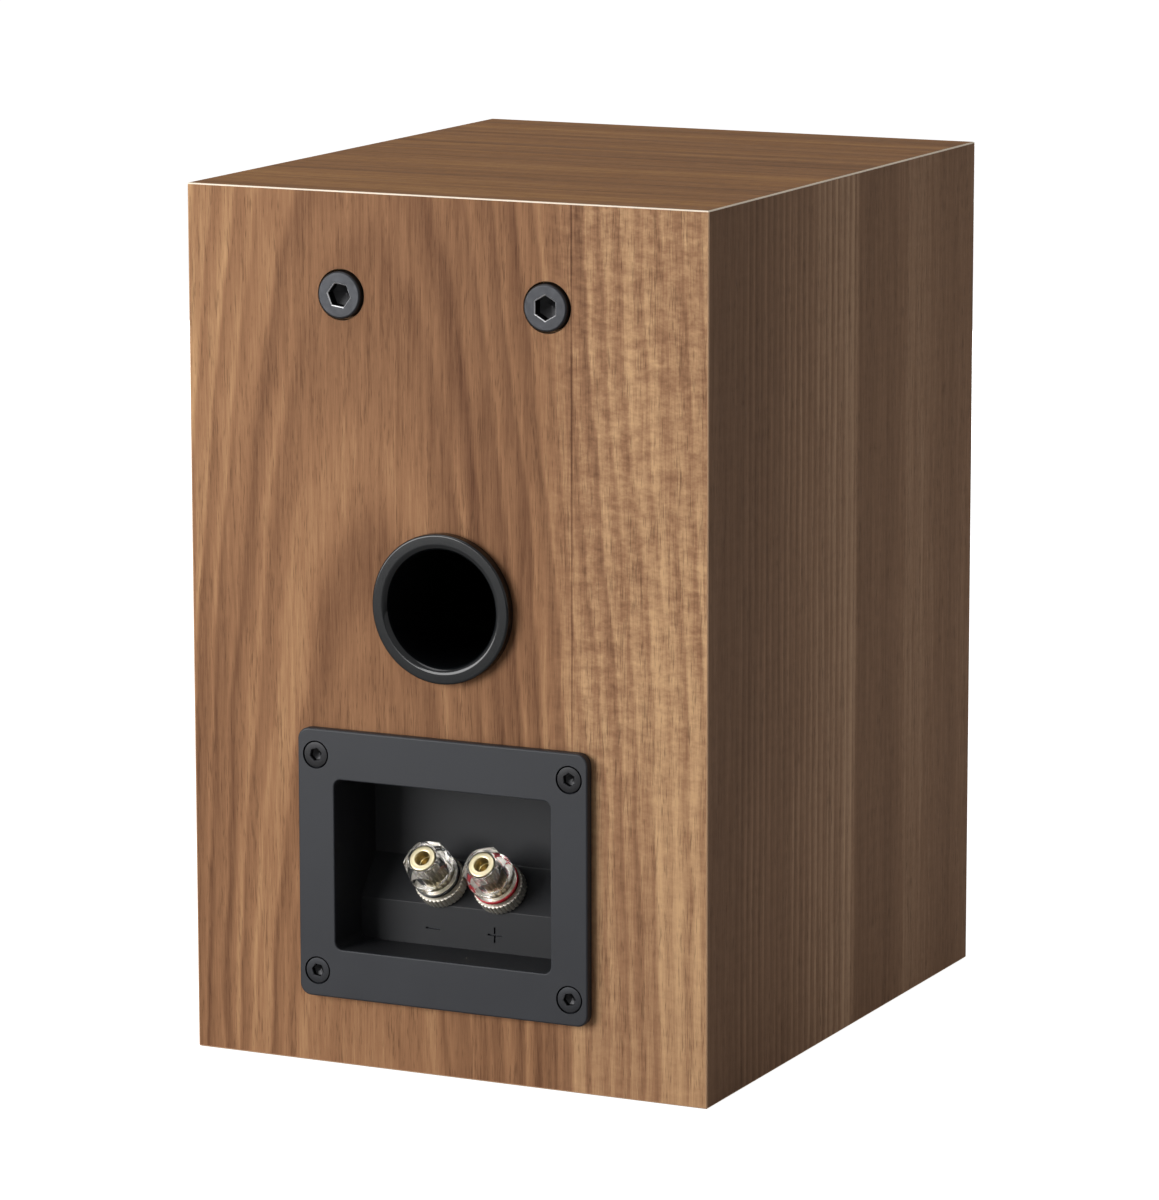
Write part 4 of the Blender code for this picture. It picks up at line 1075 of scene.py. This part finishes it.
def pocket():
    """The room inside the recess, with the flared mouth. Its deeper faces take a darker copy of the plastic,
    painted shade.
    """
    lip = 0.0004
    window = (WINDOW_WIDE, WINDOW_TALL, WINDOW_CORNER)
    room = stand("pocket", loft([
        plate_loop(*window, 0, PLATE_Y - 0.05), *rolled_edge(*window, lip, 1),
        plate_loop(*window, lip, PLATE_Y + 0.002),
    ]), PLATE_PLASTIC)
    side = drawn_across(side_outline(0, 0.004, 0.0005), WINDOW_WIDE / 2 + 0.004)
    cut(room, side, PLATE_PLASTIC, operation="INTERSECT")
    room.data.materials.append(SHADED_RECESS_PLASTIC)
    # Faces deeper than the mouth take the darker plastic, painted shade.
    for face in room.data.polygons:
        face.material_index = int(face.center.y < PLATE_Y - 0.0008)
    return room


SCREW_X, SCREW_Z = 0.0809 / 2, 0.0639 / 2
SCREW_SPOTS = [(x, PLATE.z + z) for z in (SCREW_Z, -SCREW_Z) for x in (SCREW_X, -SCREW_X)]
POST_HOLE_R = 0.003


def engrave(cup, x, strokes):
    """Sinks strokes, as (half width, half height), into the upright face under a post."""
    deep, face, level = 0.0009, PLATE_Y - SHELF_DEEP, WINDOW_LOW + 0.0051
    for wide, tall in strokes:
        stroke = block((x - wide, face - deep, level - tall), (x + wide, face + deep, level + tall))
        cut(cup, stroke, PLATE_PLASTIC)


def terminal_cup():
    thick, edge, corner = 0.0020, 0.0006, 0.0035
    plate = (PLATE_WIDE, PLATE_TALL, corner)
    loops = [plate_loop(*plate, 0, PLATE_Y - thick), *rolled_edge(*plate, edge, -1)]
    cup = stand("terminal_cup", loft(loops), PLATE_PLASTIC)
    cup.data.materials.append(SHADED_RECESS_PLASTIC)
    outline = [(min(y, PLATE_Y - thick / 2), z) for y, z in side_outline(CUP_WALL, CUP_WALL, 0.001)]
    cut(cup, drawn_across(outline, WINDOW_WIDE / 2 + CUP_WALL), PLATE_PLASTIC, operation="UNION")
    shape(cup, pocket())
    head, shank, end = 0.00412, 0.0023, -0.02
    hole = [(0, 0.002), (head, 0.002), (head, -0.0008), (shank, -0.00275), (shank, end), (0, end)]
    for x, z in SCREW_SPOTS:
        cut(cup, lathe(hole, 64), PLATE_PLASTIC, outward(x, z, PLATE_Y))
    for x in (ROD.x, -ROD.x):
        cut(cup, plug(POST_HOLE_R, -0.01, 0.01), PLATE_PLASTIC, post_place(x))
    bar, post = (0.0023, 0.00028), (0.00028, 0.0023)
    engrave(cup, ROD.x + 0.0018, [bar])
    engrave(cup, -ROD.x + 0.0008, [bar, post])
    dress(cup, "satin_black", "terminal_cup", crease=32)


def post_place(x):
    """Local Z runs out along a binding post, from the slope."""
    base = ROD - POST_AXIS * 0.00025
    return Matrix.Translation((x, base.y, base.z)) @ Matrix.Rotation(TILT - math.pi / 2, 4, "X")


def seal():
    low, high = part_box("terminal_gasket")
    loops = [plate_loop(PLATE_WIDE, PLATE_TALL, 0.0035, -0.0001, y) for y in (low.y, high.y)]
    made = stand("terminal_gasket", loft(loops), RUBBER)
    wide, tall = WINDOW_WIDE / 2 + CUP_WALL + 0.0003, WINDOW_TALL / 2 + CUP_WALL + 0.0003
    window = block((-wide, low.y - 0.01, PLATE.z - tall), (wide, high.y + 0.01, PLATE.z + tall))
    cut(made, window, RUBBER)
    for x, z in SCREW_SPOTS:
        cut(made, plug(0.0027, -0.01, 0.01), RUBBER, outward(x, z, PLATE_Y))
    dress(made, "rubber", "terminal_gasket")


def countersunk(head, shank, long, sink=0.0):
    """Profile of a countersunk screw with its face at zero, sunk a little if asked."""
    cone = head - shank
    profile = rounded([(0, -sink, 0), (head, -sink, 0.00012), (head, -0.0004, 0), (shank, -0.0004 - cone, 0)])
    return profile + thread(shank, -0.0006 - cone, -long + shank, 0.0008, 0.0004) + [(0, -long)]


terminal_cup()
seal()
# The upper pair of plate screws are darker than the lower pair.
for number, (x, z) in enumerate(SCREW_SPOTS, 1):
    socket_screw(
        f"terminal_screw_{number}", countersunk(0.0037, 0.0019, 0.014, 0.0001), 0.0033, 0.0017,
        math.radians(17 * number), DARK_STEEL_AND_SHADE if z > PLATE.z else BLACK_STEEL,
        outward(x, z, PLATE_Y), BLACK_STEEL,
    )
print("terminal cup done")

# %% [markdown]
# ## Binding posts
#
# From the slope outwards each post has a knurled collar, a washer, a coloured ring and a clear cap. The cap
# is round below and has six flats above, with a chamfer round its end, and a gold sleeve runs through it.
# The clear plastic needs a real bore with real walls, or the light would bend wrongly.


# %% Posts
BORE_R = 0.0030  # of all that the rod passes through


def knurl(count, depth, above, below=1.0):
    """Ripples a lathe's outside into straight teeth, beyond one radius and below one height."""
    def ripple(angle, radius, height):
        if radius < above or height > below:
            return radius
        share = (angle * count / (2 * math.pi)) % 1.0
        steepness = 2.2
        return radius - depth * (1 - min(1.0, steepness * (1 - abs(2 * share - 1))))
    return ripple


def clear_cap(word, place, turn):
    start, skirt_r, skirt_top, across, top, bore = 0.0068, 0.0070, 0.0112, 0.0121, 0.0175, 0.0042
    corner = across / 2 / math.cos(math.pi / 6)
    body = rounded([
        (0, start, 0), (skirt_r - 0.0002, start, 0.0003), (skirt_r, skirt_top, 0.0002),
        (0, skirt_top + 0.0003, 0),
    ])
    cap = stand(f"post_cap_{word}", lathe(body, 96), ACRYLIC, place)
    flats = stand("flats", loft([
        hexagon(across, skirt_top - 0.002, turn), hexagon(across * 0.985, top - 0.0005, turn),
        hexagon(across * 0.985, top, turn),
    ]), ACRYLIC, place)
    shaper = [(0, start), (corner, start), (corner, top - 0.0022), (corner - 0.0024, top), (0, top)]
    cut(flats, lathe(shaper), ACRYLIC, place, "INTERSECT")
    shape(cap, flats, "UNION")
    cut(cap, plug(bore, start - 0.01, top + 0.01, 64), ACRYLIC, place)
    dress(cap, "acrylic", f"post_cap_{word}", body=f"cap_{word}", crease=24)


def binding_post(word, x, band, band_slot, turn):
    place = post_place(x)
    turned_piece(
        f"knurled_collar_{word}", ring(BORE_R, 0.0076, 0.0003, 0.0043, 0.0002, 0.0003),
        NICKEL, "nickel", place, steps=396, ripple=knurl(36, 0.00040, 0.0070),
    )
    turned_piece(
        f"clamp_washer_{word}", ring(BORE_R, 0.0064, 0.0046, 0.0052, 0.0001, 0.0001),
        NICKEL, "nickel", place, body=f"washer_{word}",
    )
    colour_ring = turned_piece(
        f"colour_ring_{word}",
        rounded([
            (0.0042, 0.0055, 0.0001), (0.0070, 0.0055, 0.0002), (0.0070, 0.0065, 0.0002), (0.0063, 0.0065, 0),
            (0.0042, 0.0065, 0.0001),
        ]),
        band, band_slot, place, body=f"cap_{word}",
    )
    colour_ring.data.materials.append(NICKEL)
    back = place.inverted()
    for face in colour_ring.data.polygons:
        spot = back @ face.center
        if spot.z > 0.0064 and math.hypot(spot.x, spot.y) < 0.0063:
            face.material_index = 1
    turned_piece(
        f"post_sleeve_{word}",
        rounded([
            (BORE_R, 0.0055, 0), (0.00395, 0.0055, 0.0001), (0.00395, 0.0150, 0), (0.00395, 0.0151, 0),
            (0.00395, 0.0178, 0.0003), (0.0022, 0.0178, 0.0003), (0.0022, 0.0143, 0), (BORE_R, 0.0143, 0),
        ]),
        GOLD, "gold", place, body=f"cap_{word}", steps=240, ripple=knurl(16, 0.00025, 0.0038, 0.0150),
    )
    plug_r, rod_r, chamfer, top, end = 0.0020, 0.0026, 0.0001, 0.0140, -0.0120
    rod = [
        (0, 0.0025), (plug_r, 0.0040), (plug_r, top - chamfer), (plug_r + chamfer, top),
        (rod_r - chamfer, top), (rod_r, top - chamfer),
    ]
    rod += thread(rod_r, 0.0135, -0.0118, 0.0010, 0.00045) + [(0.0022, end), (0, end)]
    turned_piece(f"post_rod_{word}", rod, GOLD, "gold", place, steps=64)
    clear_cap(word, place, turn)
    nut = stand(f"post_nut_{word}", loft([
        hexagon(across, height, turn)
        for across, height in ((0.0086, -0.0057), (0.0090, -0.0055), (0.0090, -0.0027), (0.0086, -0.0025))
    ]), NICKEL, place)
    cut(nut, plug(BORE_R, -0.01, 0.0), NICKEL, place)
    dress(nut, "nickel", f"post_nut_{word}")


binding_post("negative", ROD.x, BLACK_BAND, "black_plastic", math.radians(6))
binding_post("positive", -ROD.x, RED_BAND, "red_plastic", math.radians(22))
print("binding posts done")

# %% [markdown]
# ## The front: baffle, woofer and tweeter
#
# The front faces away from the camera, but it is made with the same care. Depths run inwards
# from the baffle's face.


# %% Baffle
def front_baffle():
    low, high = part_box("front_baffle")
    baffle = stand("front_baffle", block(low, high, 0.0003, 2), LACQUER)
    for level, rebate, deep, bore, steps in (
        (WOOFER.z, 0.0634, 0.0053, 0.053, 192), (TWEETER.z, 0.0424, 0.0038, 0.0345, 160),
    ):
        seat = [(0, -0.01), (rebate, -0.01), (rebate, deep), (bore, deep), (bore, 0.03), (0, 0.03)]
        cut(baffle, lathe(seat, steps), LACQUER, outward(0, level, FRONT_Y))
    dress(baffle, "baffle_black", "front_baffle")


def on_circle(count, radius, first):
    turns = [first + 2 * math.pi * number / count for number in range(count)]
    return [(radius * math.cos(turn), radius * math.sin(turn)) for turn in turns]


WOOFER_SCREWS = [(x, WOOFER.z + z) for x, z in on_circle(4, 0.0572, math.pi / 4)]
TWEETER_SCREWS = [(x, TWEETER.z + z) for x, z in on_circle(3, 0.0380, math.pi / 2)]


def drill(piece, finish, spots, head, shank):
    """Countersunk holes for screws of this head and shank, with a little play."""
    cone, sunk, wide, narrow = head - shank, -0.0008, head + 0.0004, shank + 0.0004
    hole = [(0, 0.002), (wide, 0.002), (wide, sunk), (narrow, sunk - cone), (narrow, -0.02), (0, -0.02)]
    for x, z in spots:
        cut(piece, lathe(hole, 48), finish, inward(x, z))


def fix(word, spots, head, shank, long, across, deep, turn):
    """The screws of a driver, each turned a little further than the one before."""
    for number, (x, z) in enumerate(spots, 1):
        socket_screw(
            f"{word}_screw_{number}", countersunk(head, shank, long), across, deep,
            math.radians(turn * number), DARK_STEEL_AND_SHADE, inward(x, z),
        )


front_baffle()
print("baffle done")


# %% [markdown]
# ### Woofer
#
# Frame, rolled rubber surround, flared paper cone, dust cap and, behind them, the motor. The surround's
# outer lip stays with the frame and its inner lip goes with the cone, so it is weighted between the two.

# %% Woofer
LEDGE_D, CONE_EDGE_R, COIL_R, NECK_D = 0.0056, 0.0408, 0.0128, 0.0246
ROLL_R, ROLL_AT = 0.0034, 0.0440


def cone_depth(radius):
    share = (CONE_EDGE_R - radius) / (CONE_EDGE_R - COIL_R)
    return LEDGE_D + (NECK_D - LEDGE_D) * max(share, 0.0) ** 0.9


def dome(edge, tall, base, thick, count=16):
    """Profile of a thin spherical cap, from its middle out and back."""
    radius = (edge**2 + tall**2) / (2 * tall)
    radii = [edge * step / count for step in range(count + 1)]
    front = [(r, base - tall - thick + radius - math.sqrt(radius**2 - r**2)) for r in radii]
    return front + [(r, depth + thick) for r, depth in reversed(front)]


def flexible(piece, slot, node, moving, low_r, high_r, centre):
    """Weights a ring between the fixed frame, at its outer lip, and the moving part, at its inner one."""
    dress(piece, slot, node, body=None)
    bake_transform(piece, "root", moving, (0, FRONT_Y, centre.z), (0.01, FRONT_Y, centre.z))
    weights = piece.data.attributes["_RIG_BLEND"]
    for number, vertex in enumerate(piece.data.vertices):
        reach = math.hypot(vertex.co.x - centre.x, vertex.co.z - centre.z)
        share = min(max((high_r - reach) / (high_r - low_r), 0.0), 1.0)
        weights.data[number].value = share * share * (3 - 2 * share)
    return piece


def woofer():
    spot = outward(0, WOOFER.z, FRONT_Y)
    frame_profile = rounded([
        (0.0630, 0, 0.0006), (0.0630, 0.0040, 0.0003), (0.0524, 0.0040, 0.0003), (0.0516, 0.012, 0.002),
        (0.0395, 0.025, 0.003), (0.0375, 0.036, 0.001), (0.0375, 0.0385, 0.0004),
        (0.0180, 0.0385, 0.0004), (0.0180, 0.0365, 0.0004), (0.0345, 0.0365, 0.0004),
        (0.0345, 0.0283, 0.0003), (0.0370, 0.0283, 0.0003), (0.0370, 0.0258, 0.0003),
        (0.0494, 0.012, 0.001), (0.0502, 0.0070, 0.0003), (0.0468, 0.0070, 0.0002),
        (0.0468, LEDGE_D, 0.0002), (0.0500, LEDGE_D, 0.0002), (0.0500, 0, 0.0008),
    ], 5)
    frame = stand("woofer_basket", lathe(frame_profile, 192), BLACK_STEEL, spot)
    for x, z in on_circle(8, 1.0, math.pi / 8):
        window = block((0.034, -0.009, 0.0135), (0.060, 0.009, 0.0240), 0.0015)
        cut(frame, window, BLACK_STEEL, spot @ Matrix.Rotation(-math.atan2(z, x), 4, "Z"))
    gasket_profile = [(0.0534, 0.0043), (0.0534, 0.0050), (0.0626, 0.0050), (0.0626, 0.0043)]
    gasket = stand("woofer_gasket", lathe(gasket_profile, 160), RUBBER, spot)
    head, shank = 0.0036, 0.0019
    drill(frame, BLACK_STEEL, WOOFER_SCREWS, head, shank)
    drill(gasket, RUBBER, WOOFER_SCREWS, head, shank)
    dress(frame, "black_steel", "woofer_basket")
    dress(gasket, "rubber", "woofer_gasket")
    fix("woofer", WOOFER_SCREWS, head, shank, 0.016, 0.003, 0.0016, 23)
    radii = [CONE_EDGE_R + (COIL_R + 0.0003 - CONE_EDGE_R) * step / 24 for step in range(25)]
    cone = [(r, cone_depth(r)) for r in radii]
    cone += [(r, depth + 0.0008) for r, depth in reversed(cone)]
    turned_piece("woofer_cone", cone, PAPER, "paper_cone", spot, body="cone_assembly", steps=192)
    cap = dome(COIL_R + 0.0025, 0.0055, cone_depth(COIL_R + 0.0025) - 0.0003, 0.0007)
    turned_piece("woofer_dust_cap", cap, RUBBER, "rubber", spot, body="cone_assembly", steps=128)
    coil = rounded([
        (0.0123, 0.0220, 0.0001), (0.0128, 0.0220, 0.0001), (0.0128, 0.0350, 0), (0.0133, 0.0350, 0.0001),
        (0.0133, 0.0430, 0.0001), (0.0123, 0.0430, 0.0001),
    ])
    turned_piece("woofer_voice_coil", coil, COPPER, "copper", spot, body="cone_assembly")
    turned_motor(spot)
    flexible_rings(spot)


def turned_motor(spot):
    """Top plate, magnet and yoke, each with broken edges."""
    top_plate = ring(0.0137, 0.0340, 0.0388, 0.0428, 0.0002, 0.0004)
    turned_piece("woofer_top_plate", top_plate, ZINC, "zinc", spot)
    magnet = ring(0.0190, 0.0375, 0.0431, 0.0561, 0.0004, 0.0012)
    turned_piece("woofer_magnet", magnet, FERRITE, "ferrite", spot)
    turned_piece(
        "woofer_yoke",
        rounded([
            (0, 0.0388, 0), (0.0119, 0.0388, 0.0005), (0.0119, 0.0564, 0.0008), (0.0340, 0.0564, 0.0004),
            (0.0340, 0.0609, 0.0008), (0, 0.0609, 0),
        ]),
        ZINC, "zinc", spot,
    )


def flexible_rings(spot):
    thick, base = 0.0006, LEDGE_D - 0.0003
    arc = [math.radians(angle) for angle in range(0, 181, 9)]
    outside = [(ROLL_AT + ROLL_R * math.cos(a), base - thick - ROLL_R * math.sin(a)) for a in arc]
    less = ROLL_R - thick
    inside = [(ROLL_AT + less * math.cos(a), base - less * math.sin(a)) for a in reversed(arc)]
    outer_lip, inner_lip = 0.0497, ROLL_AT - ROLL_R - 0.0024
    profile = [(outer_lip, base - thick), *outside, (inner_lip, base - thick), (inner_lip, base)]
    profile += [*inside, (outer_lip, base)]
    surround = stand("woofer_surround", lathe(profile, 192), RUBBER, spot)
    reach = (ROLL_AT - ROLL_R, ROLL_AT + ROLL_R)
    flexible(surround, "rubber", "woofer_surround", "cone_assembly", *reach, WOOFER)
    inner, outer, count = COIL_R + 0.0003, 0.0366, 64
    radii = [inner + (outer - inner) * step / count for step in range(count + 1)]

    def wave(r):
        share = (r - inner) / (outer - inner)
        return 0.0272 - 0.0009 * math.sin(4 * math.pi * share) * math.sin(math.pi * share)

    cloth = [(r, wave(r)) for r in radii]
    cloth += [(r, depth + 0.0008) for r, depth in reversed(cloth)]
    spider = stand("woofer_spider", lathe(cloth, 160), SPIDER_CLOTH, spot)
    flexible(spider, "spider_cloth", "woofer_spider", "cone_assembly", inner, outer, WOOFER)


woofer()
print("woofer done")

# %% [markdown]
# ### Tweeter
#
# A short waveguide leads the eye and the sound to a small silk dome.


# %% Tweeter
def tweeter():
    spot = outward(0, TWEETER.z, FRONT_Y)
    throat, mouth, deep, flare = 0.0156, 0.0240, 0.0034, 1.8
    shares = [step / 12 for step in range(13)]
    profile = [(throat, 0.0050)]
    profile += [(throat + (mouth - throat) * share, deep * (1 - share) ** flare) for share in shares]
    profile += rounded([
        (mouth, 0, 0), (0.0420, 0, 0.0006), (0.0420, 0.0035, 0.0003), (0.0310, 0.0035, 0),
        (0.0310, 0.0050, 0),
    ])[1:]
    plate = stand("tweeter_faceplate", lathe(profile, 160), PLATE_PLASTIC, spot)
    head, shank = 0.0029, 0.0015
    drill(plate, PLATE_PLASTIC, TWEETER_SCREWS, head, shank)
    dress(plate, "satin_black", "tweeter_faceplate")
    fix("tweeter", TWEETER_SCREWS, head, shank, 0.014, 0.0025, 0.0013, 31)
    edge, tall, base, thick, tube, former = 0.0126, 0.0038, 0.0054, 0.0004, 0.0006, 0.0036
    radius = (edge**2 + tall**2) / (2 * tall)
    radii = [edge * step / 20 for step in range(21)]
    front = [(r, base - tall + radius - math.sqrt(radius**2 - r**2)) for r in radii]
    back = [(r, depth + thick) for r, depth in reversed(front) if r < edge - tube]
    turn_back = [(edge, base + former), (edge - tube, base + former), (edge - tube, base + thick)]
    profile = front + turn_back + back
    turned_piece("tweeter_dome", profile, SILK, "silk", spot, body="dome_assembly", steps=128)
    lips = [(0.0129, 0.0053), (0.0129, 0.0058), (0.0176, 0.0058), (0.0176, 0.0053)]
    surround = stand("tweeter_surround", lathe(lips, 128), SILK, spot)
    flexible(surround, "silk", "tweeter_surround", "dome_assembly", 0.0129, 0.0170, TWEETER)
    inner, outer, can, start, end = 0.0116, 0.0130, 0.0325, 0.0061, 0.0260
    motor = rounded([
        (0, start + 0.0006, 0), (inner, start + 0.0006, 0.0002), (inner, start + 0.006, 0),
        (outer, start + 0.006, 0), (outer, start, 0.0002), (can, start, 0.0006), (can, end, 0.001),
        (0, end, 0),
    ])
    turned_piece("tweeter_motor", motor, FERRITE, "ferrite", spot, steps=128)


tweeter()
print("tweeter done")

# %% [markdown]
# ## Inside the cabinet
#
# Threaded inserts, the crossover, the wires and the wadding keep the engineering model's shapes, and take
# the finishes above.

# %% Finishes for the pieces that are kept
KEPT = {
    "wall_insert_left": ZINC, "wall_insert_right": ZINC, "crossover_board": BOARD_GREEN,
    "crossover_choke": COPPER, "crossover_capacitor": FILM_YELLOW, "input_lead_negative": BLACK_WIRE,
    "input_lead_positive": RED_WIRE, "woofer_lead": BLACK_WIRE, "tweeter_lead": BLACK_WIRE,
    "wadding": WADDING,
}
for name, finish in KEPT.items():
    kept = frame["nodes"][name]
    kept.data.materials.clear()
    kept.data.materials.append(finish)
shown = [name for name, kept in frame["nodes"].items() if not kept.hide_render]
print("kept from the frame:", sorted(shown))
print("without a finish here:", sorted(set(shown) - set(KEPT)))

# %% Print the engineering box
print("engineering box, mm:", [[round(v / MM, 2) for v in corner] for corner in cad_box])
